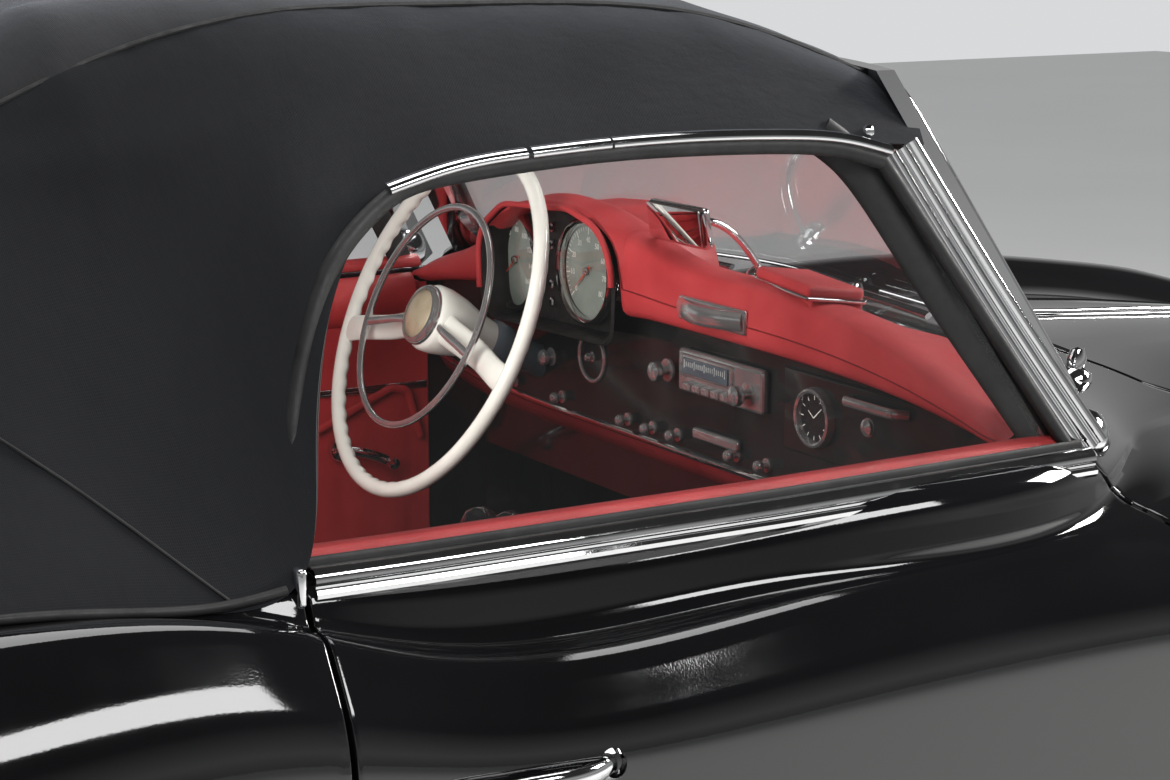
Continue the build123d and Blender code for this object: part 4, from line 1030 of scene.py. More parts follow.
def belt_run(x0, x1, out=0.0, up=0.0, count=60):
    xs = np.linspace(x0, x1, count)
    ys = np.interp(xs, [-700, -420, -270, 100, 480], [755, 763, 764, 764, 757])
    zs = np.interp(xs, [-700, -420, -270, 100, 480], [872, 873, 873, 876, 881])
    return np.stack([xs, -(ys + out), zs + up], axis=1) * MM


belt = Shape().sweep(belt_run(-366, 478), np.array(BELT_PROFILE) * MM)
both_sides(belt, "door_belt_moulding", CHROME, 25, doors=True)
capping = Shape().sweep(belt_run(-366, 470, -34, 11), dome(34, 12))
capping.sweep(belt_run(-362, 446, -66, -34), oval(0.019, 0.036, 24))
pull = rounded_path([(286, -677, 665), (404, -675, 718), (430, -675, 712), (452, -678, 640)], 14)
capping.sweep(pull * MM, oval(0.006, 0.004, 12), (0, 1, 0))
both_sides(capping, "door_capping", RED, doors=True)
wiper_lip = Shape().sweep(belt_run(-366, 474, -12, 12), dome(6, 7))
both_sides(wiper_lip, "door_glass_lip", RUBBER, doors=True)
corner = Shape().block((-0.380, -0.768, 0.872), (0.009, 0.018, 0.034), 0.004)
both_sides(corner, "belt_rear_corner", CHROME)
hem_x = np.array([-392, -450, -520, -600, -680, -740, -800, -850, -890, -915, -935, -946, -950])
hem_y = np.array([767, 767, 766, 764, 752, 732, 694, 645, 570, 470, 330, 160, 0])
hem_z = np.array([drop_height(x, -y) for x, y in zip(hem_x, hem_y)])
bead = Shape().tube(smooth_path(np.stack([hem_x, -hem_y - 3, hem_z + 4], axis=1) * MM, 120), 4.5 * MM, 10)
both_sides(bead, "deck_bead", RUBBER, slot="top_fabric")
stud = Shape().lathe([(0.0001, 0.0032), (0.003, 0.0028), (0.0055, 0.0012), (0.0062, -0.001)], (0.288, -0.636, 1.206),
                     (0, -0.95, 0.3), 20)
both_sides(stud, "press_studs", CHROME)


# Windscreen surround
SCREEN = dict(base_x=700, corner_x=552, corner_y=688, base_z=880, top_z=1262, top_x=450, top_corner_x=330,
              top_corner_y=618)


def screen_point(y_share, height, out=0.0):
    """Point on the screen band's outer face: y_share from -1 to 1, height from 0 base to 1 header."""
    def arc(back, corner_x, corner_y):
        drop = back - corner_x
        radius = (corner_y ** 2 + drop ** 2) / (2 * drop)
        y = y_share * corner_y
        return np.array([back - radius + math.sqrt(radius ** 2 - y ** 2), y])
    low = arc(SCREEN["base_x"] + out, SCREEN["corner_x"] + out, SCREEN["corner_y"])
    high = arc(SCREEN["top_x"] + out, SCREEN["top_corner_x"] + out, SCREEN["top_corner_y"])
    flat = low * (1 - height) + high * height
    return np.array([flat[0], flat[1], SCREEN["base_z"] + height * (SCREEN["top_z"] - SCREEN["base_z"])])


def screen_loop(inset_side, low, high, out, count=26):
    """Closed line round the screen, with rounded corners."""
    reach = 1 - inset_side
    corners = [(-reach, low), (reach, low), (reach - 0.02, high), (-reach + 0.02, high)]
    flat = rounded_path([(a * 0.66, b * 0.4, 0) for a, b in corners], 0.045, 8, closed=True)
    full = []
    for a, b in zip(flat, np.roll(flat, -1, axis=0)):
        steps = max(1, int(np.linalg.norm(b - a) / 0.02))
        full += [a + (b - a) * k / steps for k in range(steps)]
    return np.array([screen_point(p[0] / 0.66, p[1] / 0.4, out) for p in full]) * MM


screen_up = np.array([0.8, 0.0, 0.6])
gasket = Shape().sweep(screen_loop(0.055, 0.115, 0.94, 1), dome(16, 8), screen_up, closed=True)
gasket.make("screen_gasket", RUBBER)
surround = Shape().sweep(screen_loop(0.03, 0.06, 0.975, 2), dome(16, 7), screen_up, closed=True)
surround.make("screen_surround", CHROME)


# Steering wheel, in a frame whose z runs up the column to the driver and y up across the rim
WHEEL_TILT = math.radians(23.5)
WHEEL_UP = Vector((math.sin(WHEEL_TILT), 0, math.cos(WHEEL_TILT)))
WHEEL_AXIS = Vector((-math.cos(WHEEL_TILT), 0, math.sin(WHEEL_TILT)))
WHEEL_PLACE = Matrix.Translation((0.322, 0.368, 0.870)) @ Matrix((
    (0, WHEEL_UP.x, WHEEL_AXIS.x, 0), (-1, WHEEL_UP.y, WHEEL_AXIS.y, 0),
    (0, WHEEL_UP.z, WHEEL_AXIS.z, 0), (0, 0, 0, 1)))
RIM_R, HORN_R, SPOKE_DROOP = 0.2355, 0.152, math.radians(-12)


def ring_path(radius, count, z=0.0):
    return np.concatenate([circle(radius, count), np.full((count, 1), z)], axis=1)


def steering_rim():
    turns = circle(1, 360)
    section = circle(1, 18)
    rows = []
    for i, (c, s) in enumerate(turns):
        scallop = 0.0011 * math.cos(i * 2 * math.pi / 360 * 56)
        row = []
        for a, b in section:
            grip = 0.0106 + scallop * max(0.0, -0.75 * b - 0.65 * a)
            out = RIM_R + a * grip
            row.append((out * c, out * s, b * grip * 0.95))
        rows.append(row)
    return Shape().grid(rows, wrap=True, wrap_rows=True)


def steering_spokes(shape):
    for turn in (SPOKE_DROOP, math.pi - SPOKE_DROOP):
        along = np.array([math.cos(turn), math.sin(turn), 0])
        across = np.array([-math.sin(turn), math.cos(turn), 0])
        rows = []
        for t in np.linspace(0, 1, 24):
            reach = 0.03 + (RIM_R - 0.032) * t
            half = 0.0175 + 0.004 * (1 - t) ** 2 + 0.002 * t ** 6
            thick = 0.0072 + 0.004 * (1 - t) ** 2
            lift = -0.010 * math.sin(math.pi * min(1, t * 1.1)) ** 2
            rows.append([along * reach + across * half * a * abs(a) ** -0.25 + np.array([0, 0, lift + thick * b])
                         for a, b in circle(1, 20, 0.05)])
        shape.grid(rows, wrap=True)
    return shape


ivory = steering_spokes(steering_rim())
ivory.lathe([(0.026, -0.085), (0.031, -0.06), (0.041, -0.03), (0.0455, -0.006), (0.0455, 0.010), (0.042, 0.017),
             (0.039, 0.018)], (0, 0, 0), (0, 0, 1), 72)
ivory.moved(WHEEL_PLACE).make("steering_wheel_rim", IVORY, 55, "steering_wheel", replaces=["steering_wheel"])
bright = Shape().tube(ring_path(HORN_R, 180, 0.019), 0.0048, 12, closed=True)
for turn in (SPOKE_DROOP, math.pi - SPOKE_DROOP):
    ends = [(0.034, 0.012), (0.06, 0.0175), (0.1, 0.0185), (HORN_R, 0.019)]
    path = smooth_path([(r * math.cos(turn), r * math.sin(turn), z) for r, z in ends], 20)
    bright.sweep(path, oval(0.0058, 0.0028, 12))
bright.lathe([(0.036, 0.010), (0.041, 0.0145), (0.0415, 0.022), (0.0385, 0.0275), (0.034, 0.029), (0.0335, 0.026)],
             (0, 0, 0), (0, 0, 1), 72)
bright.moved(WHEEL_PLACE).make("horn_ring", CHROME_PAINTED_SHEEN, 50, "steering_wheel")
disc = Shape().lathe([(0.0002, 0.0345), (0.012, 0.0338), (0.024, 0.0312), (0.0325, 0.0275), (0.034, 0.022)],
                     (0, 0, 0), (0, 0, 1), 64)
disc.moved(WHEEL_PLACE).make("horn_disc", HUB_DISC, 60, "steering_wheel")
jacket = Shape().lathe([(0.024, -0.30), (0.0245, -0.12), (0.029, -0.11), (0.03, -0.088), (0.026, -0.084)],
                       (0, 0, 0), (0, 0, 1), 48)
jacket.moved(WHEEL_PLACE).make("column_jacket", COLUMN_BLUE, 50)
stalk_path = [(-0.03, 0.01, -0.1), (-0.08, 0.015, -0.098), (-0.14, 0.03, -0.085)]
stalk = Shape().tube(smooth_path(stalk_path, 16), 0.0035, 10)
stalk.lathe([(0.0005, 0.011), (0.007, 0.008), (0.009, 0), (0.007, -0.008), (0.0005, -0.011)], (-0.145, 0.031, -0.084),
            (1, 0, 0), 20)
stalk.moved(WHEEL_PLACE).make("indicator_stalk", CHROME, 50)


# Dashboard
def screen_x(y, z):
    """Where the screen's outer face stands at a place, in millimetres."""
    share = min(1, max(0, (z - SCREEN["base_z"]) / (SCREEN["top_z"] - SCREEN["base_z"])))
    width = SCREEN["corner_y"] * (1 - share) + SCREEN["top_corner_y"] * share
    return screen_point(max(-1, min(1, y / width)), share)[0]


CROWN_KNOTS = [(-668, 893), (-560, 925), (-420, 958), (-150, 982), (10, 990), (72, 1006), (142, 1029), (212, 1038),
               (302, 1034), (382, 1009), (455, 970), (550, 932), (620, 912), (668, 893)]
CROWN = natural_spline(*np.array(CROWN_KNOTS, float).T, np.linspace(-668, 668, 170))
DASH_Y = np.linspace(-668, 668, 170)


# Opening of the binnacle in the hood's face
outline = rounded_path([(0, 92, 866), (0, 438, 858), (0, 446, 975), (0, 374, 1018), (0, 198, 1030), (0, 86, 1006)],
                       [30, 40, 60, 70, 80, 75], 8, closed=True)
OPEN_TOP = outline[outline[:, 2] > 930]
OPEN_TOP = OPEN_TOP[np.argsort(OPEN_TOP[:, 1])]


def pad_low(y):
    return 905 - 28 * min(1, abs(y) / 640) ** 4


def pad_profile(y, crown):
    rear = 448 - 12 * min(1, abs(y) / 640) ** 3
    hood = math.exp(-(((y - 267) / 190) ** 6)) * 18
    low = min(pad_low(y), crown - 16)
    if OPEN_TOP[0, 1] < y < OPEN_TOP[-1, 1]:
        low = min(crown - 8, float(np.interp(y, OPEN_TOP[:, 1], OPEN_TOP[:, 2])) - 3)
    rear -= hood
    front = min(590, screen_x(y, 930) - 34)
    ledge = min(936, crown - 8)
    corner = min(5, 0.3 * (crown - low))
    side = [(rear + 34 + hood, low + 1), (rear + 12, low), (rear + 4, low + corner), (rear, low + 0.3 * (crown - low))]
    side += [(rear + 2, low + 0.66 * (crown - low)), (rear + 9, crown - corner), (rear + 22, crown)]
    mid = rear + 0.45 * (front - rear)
    side += [(mid, crown - 1 - 0.12 * (crown - ledge)), (front - 14, ledge + 4), (front, ledge), (front - 2, low + 2)]
    return [(x, y, z) for x, z in side]


pad = Shape().grid(np.array([smooth_path(pad_profile(y, c), 46) for y, c in zip(DASH_Y, CROWN)]) * MM, wrap=True)
pad.make("dash_pad", RED_FINE, 60, replaces=["dashboard"])
seam = Shape()
line = np.array([pad_profile(y, c)[3] for y, c in zip(DASH_Y, CROWN)])
seam.tube((line[line[:, 1] < 150] + np.array([-0.6, 0, 4])) * MM, 0.9 * MM, 6)
seam.make("dash_seam", RED_DARK)


def face_bend(y):
    return -9 * min(1, abs(y) / 640) ** 3


def face_rise(y):
    return 30 * min(1, abs(y) / 655) ** 6


face = Shape()
face_rows = []
for y in np.linspace(-655, 655, 90):
    x, low = 479 + face_bend(y), 741 + face_rise(y)
    face_rows.append([(x + 24, y, low), (x + 3, y, low), (x, y, low + 3), (x - 1, y, 800), (x, y, 860),
                      (x + 2, y, pad_low(y) + 6), (x + 24, y, pad_low(y) + 6)])
face.grid(np.array(face_rows) * MM)
face.make("dash_face", BLACK_GLOSS, 40)
strip_line = np.array([(478 + face_bend(y), y, 744 + face_rise(y)) for y in np.linspace(-650, 650, 90)])
strip_profile = np.array([(4, 4.5), (-2, 4.5), (-4, 2), (-4.6, 0), (-4, -2), (-2, -4.5), (4, -4.5)])
strip = Shape().sweep(strip_line * MM, strip_profile * MM)
strip.make("dash_strip", CHROME, 30)
under = Shape()
under_rows = []
for y in np.linspace(-655, 655, 70):
    x, low = 482 + face_bend(y), 739 + face_rise(y)
    under_rows.append([(x + back, y, low - down) for back, down in ((34, 28), (22, 28), (12, 25), (0, 6), (0, 0))])
under.grid(np.array(under_rows) * MM)
under.make("dash_under_roll", RED_DARK, 50)

# Binnacle: dark hollow under the hood with two dials
hollow = Shape()
GAUGES = ((408.0, 935.0), (214.0, 944.0))
rim_rows = []
for depth, grow, slide in ((431, 3, 0), (428, 0, 0), (434, -5, 0), (472, -8, 52)):
    centre = np.array([0, 267, 940])
    ring = centre + (outline - centre) * (1 + grow / 150)
    ring[:, 0] = depth
    ring[:, 1] += slide * np.clip((400 - ring[:, 1]) / 300, 0, 1)
    rim_rows.append(ring)
hollow.grid(np.array(rim_rows) * MM, wrap=True)
back = rim_rows[-1]
hollow.add(np.concatenate([back, [[472, 319, 940]]]) * MM,
           [[i, (i + 1) % len(back), len(back)] for i in range(len(back))])
hollow.make("binnacle_hollow", BLACK_SATIN, 40)
lip = rim_rows[1] + np.array([-1, 0, 0])
lip = np.roll(lip, -int(np.argmax((lip[:, 2] > 895) & (np.roll(lip[:, 2], 1) <= 895))), axis=0)
hood_edge = Shape().tube(lip[lip[:, 2] > 895] * MM, 4.2 * MM, 10, (1, 0.01, 0))
hood_edge.make("binnacle_edge", RED_FINE, 60)


def dial_angle(share):
    """Angle of a share of the scale; 0 points up."""
    return math.radians(-130 + 260 * share)


def on_dial(angle):
    """Directions along a dial's radius and across it."""
    return np.array([0, -math.sin(angle), math.cos(angle)]), np.array([0, math.cos(angle), math.sin(angle)])


def dial_mark(shape, base, angle, inner, outer, half, tip=None):
    """Flat bar along a dial's radius."""
    radial, cross = on_dial(angle)
    tip = half if tip is None else tip
    shape.add([base + radial * inner - cross * half, base + radial * outer - cross * tip,
               base + radial * outer + cross * tip, base + radial * inner + cross * half], [[0, 1, 2, 3]])


bezels, faces, marks, needles, lens = (Shape() for _ in range(5))
for y, z in GAUGES:
    at = (0.470, y * MM, z * MM)
    bezels.lathe([(0.060, 0.004), (0.0625, 0.012), (0.066, 0.0145), (0.0695, 0.012), (0.0705, 0.004), (0.069, -0.002)],
                 at, (-1, 0, 0), 96)
    bezels.lathe([(0.0005, 0.010), (0.005, 0.009), (0.007, 0.005), (0.0072, 0.002)], at, (-1, 0, 0), 32)
    faces.lathe([(0.0002, 0.002), (0.061, 0.0015), (0.062, -0.002)], at, (-1, 0, 0), 96)
    lens.lathe([(0.0002, 0.0125), (0.03, 0.012), (0.0615, 0.0108)], at, (-1, 0, 0), 72)
    for k in range(41):
        angle = dial_angle(k / 40)
        inner, outer, half = (0.048, 0.058, 0.0009) if k % 5 == 0 else (0.053, 0.058, 0.0005)
        dial_mark(marks, np.array([0.4675, y * MM, z * MM]), angle, inner, outer, half)
    radial, cross = on_dial(math.radians(-128))
    base = np.array([0.4645, y * MM, z * MM])
    needles.add([base - radial * 0.01 - cross * 0.0022, base + radial * 0.047, base - radial * 0.01 + cross * 0.0022],
                [[0, 1, 2]])
for y, z in ((311, 990), (311, 967), (311, 914), (311, 890)):
    bezels.lathe([(0.0035, 0.006), (0.0062, 0.005), (0.0075, 0.001), (0.0075, -0.002)], (0.471, y * MM, z * MM),
                 (-1, 0, 0), 28)
bezels.make("gauge_bezels", CHROME, 50)
faces.make("gauge_faces", DIAL_GREEN, 60, replaces=["instruments"])
marks.make("gauge_marks", DIAL_WHITE)
needles.make("gauge_needles", NEEDLE)
lens.make("gauge_glass", GAUGE_GLASS, 60)


FIGURE_HEIGHT = 0.0105
FIGURE_RADIUS = 41
TO_DRIVER = Matrix(((0, 0, -1, 0), (-1, 0, 0, 0), (0, 1, 0, 0), (0, 0, 0, 1)))


def numeral(text, place):
    """Plain figures standing on a dial and facing the driver."""
    data = bpy.data.curves.new("figure", "FONT")
    data.body = text
    data.size = FIGURE_HEIGHT
    data.resolution_u = 3
    data.align_x = data.align_y = "CENTER"
    data.extrude = 0.0003
    item = bpy.data.objects.new("figure", data)
    bpy.context.scene.collection.objects.link(item)
    item.matrix_world = Matrix.Translation(place) @ TO_DRIVER
    bpy.context.view_layer.update()
    mesh = bpy.data.meshes.new_from_object(item.evaluated_get(bpy.context.evaluated_depsgraph_get()))
    mesh.transform(item.matrix_world)
    points = [list(v.co) for v in mesh.vertices]
    polygons = [list(p.vertices) for p in mesh.polygons]
    bpy.data.objects.remove(item)
    return points, polygons


figures = Shape()
for (y, z), step in zip(GAUGES, (20, 10)):
    for k in range(0, 9):
        angle = dial_angle(k / 8)
        place = (0.4672, (y - math.sin(angle) * FIGURE_RADIUS) * MM, (z + math.cos(angle) * FIGURE_RADIUS) * MM)
        figures.add(*numeral(str(k * step), place))
figures.make("gauge_figures", DIAL_WHITE)


# Controls on the black face
def knob(shape, x, y, z, radius, reach):
    outline = [(0.0004, reach), (radius * 0.6, reach - 0.0008), (radius * 0.95, reach - 0.004),
               (radius, reach * 0.55), (radius * 0.8, reach * 0.4), (radius * 0.45, reach * 0.3),
               (radius * 0.45, 0.002), (radius * 1.15, 0.0015), (radius * 1.15, -0.002)]
    shape.lathe(outline, (x * MM, y * MM, z * MM), (-1, 0, 0), 28)
    return shape


controls = Shape()
controls.block((0.472, -0.100, 0.852), (0.012, 0.186, 0.054), 0.005)
controls.block((0.466, -0.078, 0.860), (0.008, 0.112, 0.028), 0.003)
for y in (-164, 16):
    knob(controls, 466, y, 846, 0.0125, 0.026)
for k in range(5):
    controls.block((0.4635, (-0.078 + (k - 2) * 0.021), 0.8345), (0.008, 0.018, 0.010), 0.002)
button_ring = [(477 * MM, (221 + a * 32) * MM, (829 + b * 32) * MM) for a, b in circle(1, 64)]
controls.tube(button_ring, 0.0032, 10, (1, 0.01, 0), closed=True)
knob(controls, 478, 221, 829, 0.006, 0.012)
for y, z in ((129, 762), (68, 762), (8, 764), (-125, 764), (-190, 764), (300, 762), (430, 762)):
    knob(controls, 477, y, z, 0.0075, 0.019)
controls.block((0.474, -0.085, 0.776), (0.010, 0.1, 0.014), 0.004)
for y in (330, 420, 510):
    knob(controls, 478, y, 812, 0.011, 0.02)
handle_y = np.linspace(-182, -48, 30)
scoop = [((446 - 20 * math.sin(math.pi * (y + 182) / 134)) * MM, y * MM, 937 * MM) for y in handle_y]
controls.sweep(scoop, oval(0.007, 0.012, 16))
controls.block((0.447, -0.115, 0.936), (0.008, 0.146, 0.030), 0.006)
controls.make("dash_controls", CHROME_PAINTED_SHEEN, 40)
scale = Shape().block((0.4612, -0.078, 0.860), (0.003, 0.100, 0.020), 0.001)
scale.make("radio_scale", COLUMN_BLUE, slot="dial_black")
ticks = Shape()
for k in range(21):
    ticks.block((0.4594, -0.078 + (k - 10) * 0.0045, 0.863), (0.0005, 0.0006, 0.006 if k % 5 else 0.010), 0)
ticks.make("radio_ticks", DIAL_WHITE)

ASH_TURN = tilt(-12, "Z") @ tilt(6)
ash = Shape().block((0.502, -0.234, 0.986), (0.070, 0.160, 0.014), 0.005, ASH_TURN)
ash.block((0.504, -0.234, 0.966), (0.064, 0.154, 0.026), 0.003, ASH_TURN)
ash.make("ashtray_pad", RED_FINE, 50)
ash_rim = Shape().block((0.502, -0.234, 0.9775), (0.074, 0.164, 0.005), 0.002, ASH_TURN)
ash_rim.make("ashtray_rim", CHROME, 50)

# Glovebox lid's face, handle, lock and clock, all on the lid
lid_face = Shape().block((0.479, -0.4125, 0.8415), (0.012, 0.371, 0.098), 0.004)
lid_face.make("glovebox_face", BLACK_GLOSS, 40, "glovebox_lid", replaces=["glovebox_lid"])
lid_trim = Shape()
lid_trim.lathe([(0.0275, 0.004), (0.029, 0.0105), (0.0315, 0.012), (0.034, 0.0105), (0.0355, 0.003), (0.0355, -0.004)],
               (0.474, -0.296, 0.841), (-1, 0, 0), 64)
path = rounded_path([(472, -366, 874), (455, -372, 876), (455, -462, 876), (472, -468, 874)], 8)
lid_trim.sweep(path * MM, oval(0.0042, 0.0062, 12))
knob(lid_trim, 473, -396, 848, 0.0095, 0.009)
lid_trim.make("glovebox_trim", CHROME_PAINTED_SHEEN, 45, "glovebox_lid")
clock = Shape().lathe([(0.0002, 0.0035), (0.0285, 0.003), (0.029, 0)], (0.473, -0.296, 0.841), (-1, 0, 0), 48)
clock.make("clock_face", DIAL, 60, "glovebox_lid")
hands = Shape()
for hour in range(12):
    dial_mark(hands, np.array([0.4690, -0.296, 0.841]), math.radians(30 * hour), 0.021, 0.026, 0.0005)
for angle, length in ((305, 0.013), (50, 0.02)):
    dial_mark(hands, np.array([0.4680, -0.296, 0.841]), math.radians(angle), 0, length, 0.0008, 0.00032)
hands.make("clock_hands", DIAL_WHITE, body="glovebox_lid")

# Mirror
head = Shape().block((0.474, 0.002, 1.030), (0.016, 0.128, 0.052), 0.0075, tilt(-8), 4)
arm = smooth_path([(484, 0, 1032), (517, 0, 1030), (556, 0, 1008), (590, 0, 968)], 24)
head.tube(arm * MM, 0.0048, 12)
head.lathe([(0.0005, 0.012), (0.009, 0.011), (0.016, 0.006), (0.019, 0.0)], (0.592, 0, 0.958), (0, 0, 1), 32)
head.lathe([(0.0005, 0.008), (0.008, 0.006), (0.0095, 0), (0.008, -0.006), (0.0005, -0.008)],
           (0.496, 0, 1.032), (1, 0, 0), 20)
head.make("mirror_head", CHROME, 45, replaces=["mirror"])
silver = Shape().block((0.4652, 0.002, 1.0302), (0.002, 0.118, 0.044), 0.0008, tilt(-8))
silver.make("mirror_glass", MIRROR_SILVER, 40)


# Seats: crowned closed forms with sewn channels, swelled by a short cloth simulation
def pleats(u, count, depth):
    """Hollows of the sewn channels across a panel, u from 0 to 1."""
    return -depth * np.clip(1 - np.abs(((u * count) % 1) - 0.5) * 2, 0, 1) ** 6


def cushion(centre_y, channels=9):
    x0, x1, half, low, high = -0.428, 0.088, 0.246, 0.402, 0.516
    n, m = 52, 112
    us, vs = np.linspace(-1, 1, n), np.linspace(-1, 1, m)
    shape = Shape()
    for top in (1, -1):
        rows = []
        for u in us:
            row = []
            for v in vs:
                edge = (1 - abs(u) ** 5) * (1 - abs(v) ** 5)
                x = (x0 + x1) / 2 + u * (x1 - x0) / 2 * (1 - 0.03 * v ** 8)
                y = centre_y + v * half * (1 - 0.03 * u ** 8)
                middle = (low + high) / 2
                if top > 0:
                    z = middle + (high - middle) * edge ** 0.42
                    inside = min(1, max(0, (0.80 - abs(v)) / 0.05)) * min(1, max(0, (0.86 - abs(u)) / 0.05))
                    z += pleats(np.array((v + 0.8) / 1.6), channels, 0.006) * inside
                    ring = max(abs(v) / 0.82, abs(u) / 0.88)
                    z -= 0.006 * math.exp(-((ring - 1) / 0.02) ** 2)
                    z -= 0.010 * math.exp(-(u / 0.7) ** 2 - (v / 0.6) ** 2)
                else:
                    z = middle - (middle - low) * edge ** 0.2
                row.append((x, y, z))
            rows.append(row)
        shape.grid(np.array(rows), flip=top < 0)
    return shape


def backrest(centre_y, channels=9):
    n, m = 52, 112
    shape = Shape()
    rake = math.atan2(105, 410)
    for front in (1, -1):
        rows = []
        for u in np.linspace(-1, 1, n):
            row = []
            for v in np.linspace(-1, 1, m):
                edge = (1 - abs(u) ** 6) * (1 - abs(v) ** 5)
                height = 0.524 + (u + 1) / 2 * 0.398
                narrow = 1 - 0.10 * max(0, u) ** 3
                y = centre_y + v * 0.242 * narrow
                mid = -0.368 - (height - 0.52) * math.tan(rake) * 0.7
                thick = 0.062 - 0.018 * (u + 1) / 2
                if front > 0:
                    x = mid + thick * edge ** 0.42
                    inside = min(1, max(0, (0.78 - abs(v)) / 0.05)) * min(1, max(0, (0.8 - abs(u)) / 0.05))
                    x += float(pleats(np.array((v + 0.78) / 1.56), channels, 0.006)) * inside
                    ring = max(abs(v) / 0.8, abs(u) / 0.83)
                    x -= 0.005 * math.exp(-((ring - 1) / 0.02) ** 2)
                else:
                    x = mid - thick * 0.9 * edge ** 0.35
                row.append((x, y, height))
            rows.append(row)
        shape.grid(np.array(rows), flip=front > 0)
    return shape


def welded(piece):
    mesh = bmesh.new()
    mesh.from_mesh(piece.data)
    bmesh.ops.remove_doubles(mesh, verts=mesh.verts, dist=0.0004)
    bmesh.ops.recalc_face_normals(mesh, faces=mesh.faces)
    mesh.to_mesh(piece.data)
    mesh.free()
    return piece


SWELL_FRAMES = 14


def swell(piece, pressure=3.0, cap=0.006):
    """A short cloth simulation puffs and wrinkles the leather, and no point moves farther than the cap."""
    before = np.array([v.co[:] for v in piece.data.vertices])
    cloth = piece.modifiers.new("swell", "CLOTH")
    cloth.settings.use_pressure = True
    cloth.settings.uniform_pressure_force = pressure
    cloth.settings.quality = 5
    cloth.settings.mass = 0.4
    cloth.settings.tension_stiffness = 25
    cloth.settings.compression_stiffness = 20
    cloth.settings.shear_stiffness = 12
    cloth.settings.effector_weights.gravity = 0
    cloth.point_cache.frame_start = 1
    cloth.point_cache.frame_end = SWELL_FRAMES
    scene = bpy.context.scene
    for number in range(1, SWELL_FRAMES + 1):
        scene.frame_set(number)
    graph = bpy.context.evaluated_depsgraph_get()
    result = piece.evaluated_get(graph).to_mesh()
    after = np.array([v.co[:] for v in result.vertices])
    piece.evaluated_get(graph).to_mesh_clear()
    piece.modifiers.remove(cloth)
    scene.frame_set(1)
    if len(after) != len(before) or not np.isfinite(after).all():
        return piece
    move = after - before
    far = np.linalg.norm(move, axis=1)[:, None]
    move *= np.minimum(1, cap / np.maximum(far, 1e-9))
    piece.data.vertices.foreach_set("co", (before + move).astype(np.float32).ravel())
    piece.data.update()
    return piece


seat_names = {-0.37: "right", 0.37: "left"}
for seat_y, word in seat_names.items():
    for form, part in ((cushion, "seat_cushion"), (backrest, "seat_back")):
        piece = swell(welded(form(seat_y).make(part + "_" + word, RED, 70)))
        if word == "right":
            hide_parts(part + "s")
piping_lines = Shape()
for seat_y in seat_names:
    ring = rounded_path([(-424, seat_y * 1000 - 243, 458), (84, seat_y * 1000 - 243, 458),
                         (84, seat_y * 1000 + 243, 458), (-424, seat_y * 1000 + 243, 458)], 26, 8, closed=True)
    piping_lines.tube(ring * MM, 3.2 * MM, 8, closed=True)
piping_lines.make("seat_piping", RED_DARK, 60)
rails = Shape()
for seat_y in (-370, 370):
    for side in (-150, 150):
        rails.block((-0.17, (seat_y + side) * MM, 0.273), (0.56, 0.032, 0.014), 0.004)
        for x in (-0.36, 0.02):
            rails.block((x, (seat_y + side) * MM, 0.335), (0.022, 0.018, 0.12), 0.004)
rails.make("seat_rails", STEEL, 40, replaces=["seat_frames"])


# Door cards, with pull, crank and armrest
def door_card():
    card, metal = Shape(), Shape()
    y = -695.0
    rear, front, low, high = -330, 440, 372, 700
    groove_width, slope = 2.4, 6
    rows = []
    for x in np.linspace(-360, 470, 130):
        row = []
        for z in np.linspace(336, 868, 46):
            inset = (min(1, max(0, min(x - rear, front - x) / slope))
                     * min(1, max(0, min(z - low, high - z) / slope)))
            upright = math.exp(-(min(abs(x - rear), abs(front - x)) / groove_width) ** 2) * (low < z < high)
            level = math.exp(-(min(abs(z - low), abs(high - z)) / groove_width) ** 2) * (rear < x < front)
            rib = 1.3 * abs(math.sin(math.pi * (x - rear) / 55)) ** 0.5 * inset
            row.append((x, y + 6 + rib - 2.2 * max(upright, level), z))
        rows.append(row)
    card.grid(np.array(rows) * MM)
    edge = rounded_path([(-360, y, 336), (470, y, 336), (470, y, 868), (-360, y, 868)], 24, 6, closed=True)
    card.tube(edge * MM, 4 * MM, 10, (0, 1, 0.01), closed=True)
    rest = smooth_path([(-300, -676, 640), (-220, -662, 652), (-60, -658, 655), (60, -664, 646), (120, -678, 628)], 40)
    card.sweep(rest * MM, oval(0.016, 0.015, 20),
               sizes=0.55 + 0.45 * np.sin(np.linspace(0.25, math.pi - 0.25, 40)))
    strip_line = [(x, -687, 716) for x in np.linspace(-356, 466, 60)]
    metal.sweep(np.array(strip_line) * MM, fluted(12, 2.5, 2), (0, 1, 0))
    metal.lathe([(0.0005, 0.016), (0.012, 0.015), (0.017, 0.010), (0.019, 0)], (0.325, -0.689, 0.632), (0, 1, 0), 32)
    crank = smooth_path([(325, -673, 632), (345, -667, 630), (372, -662, 622), (392, -664, 612)], 16)
    metal.sweep(crank * MM, oval(0.0075, 0.0045, 12), (0, 1, 0))
    metal.lathe([(0.0005, 0.022), (0.008, 0.020), (0.0095, 0.012), (0.006, 0.002), (0.006, 0)], (0.392, -0.662, 0.612),
                (0, 1, 0), 24)
    metal.lathe([(0.0005, 0.014), (0.012, 0.013), (0.017, 0.008), (0.019, 0)], (0.215, -0.689, 0.745), (0, 1, 0), 32)
    lever = smooth_path([(215, -674, 745), (195, -670, 747), (160, -670, 748), (135, -672, 746)], 14)
    metal.sweep(lever * MM, oval(0.0065, 0.0042, 12), (0, 1, 0))
    both_sides(card, "door_card", RED, 50, doors=True)
    both_sides(metal, "door_card_trim", CHROME, 45, doors=True)


door_card()


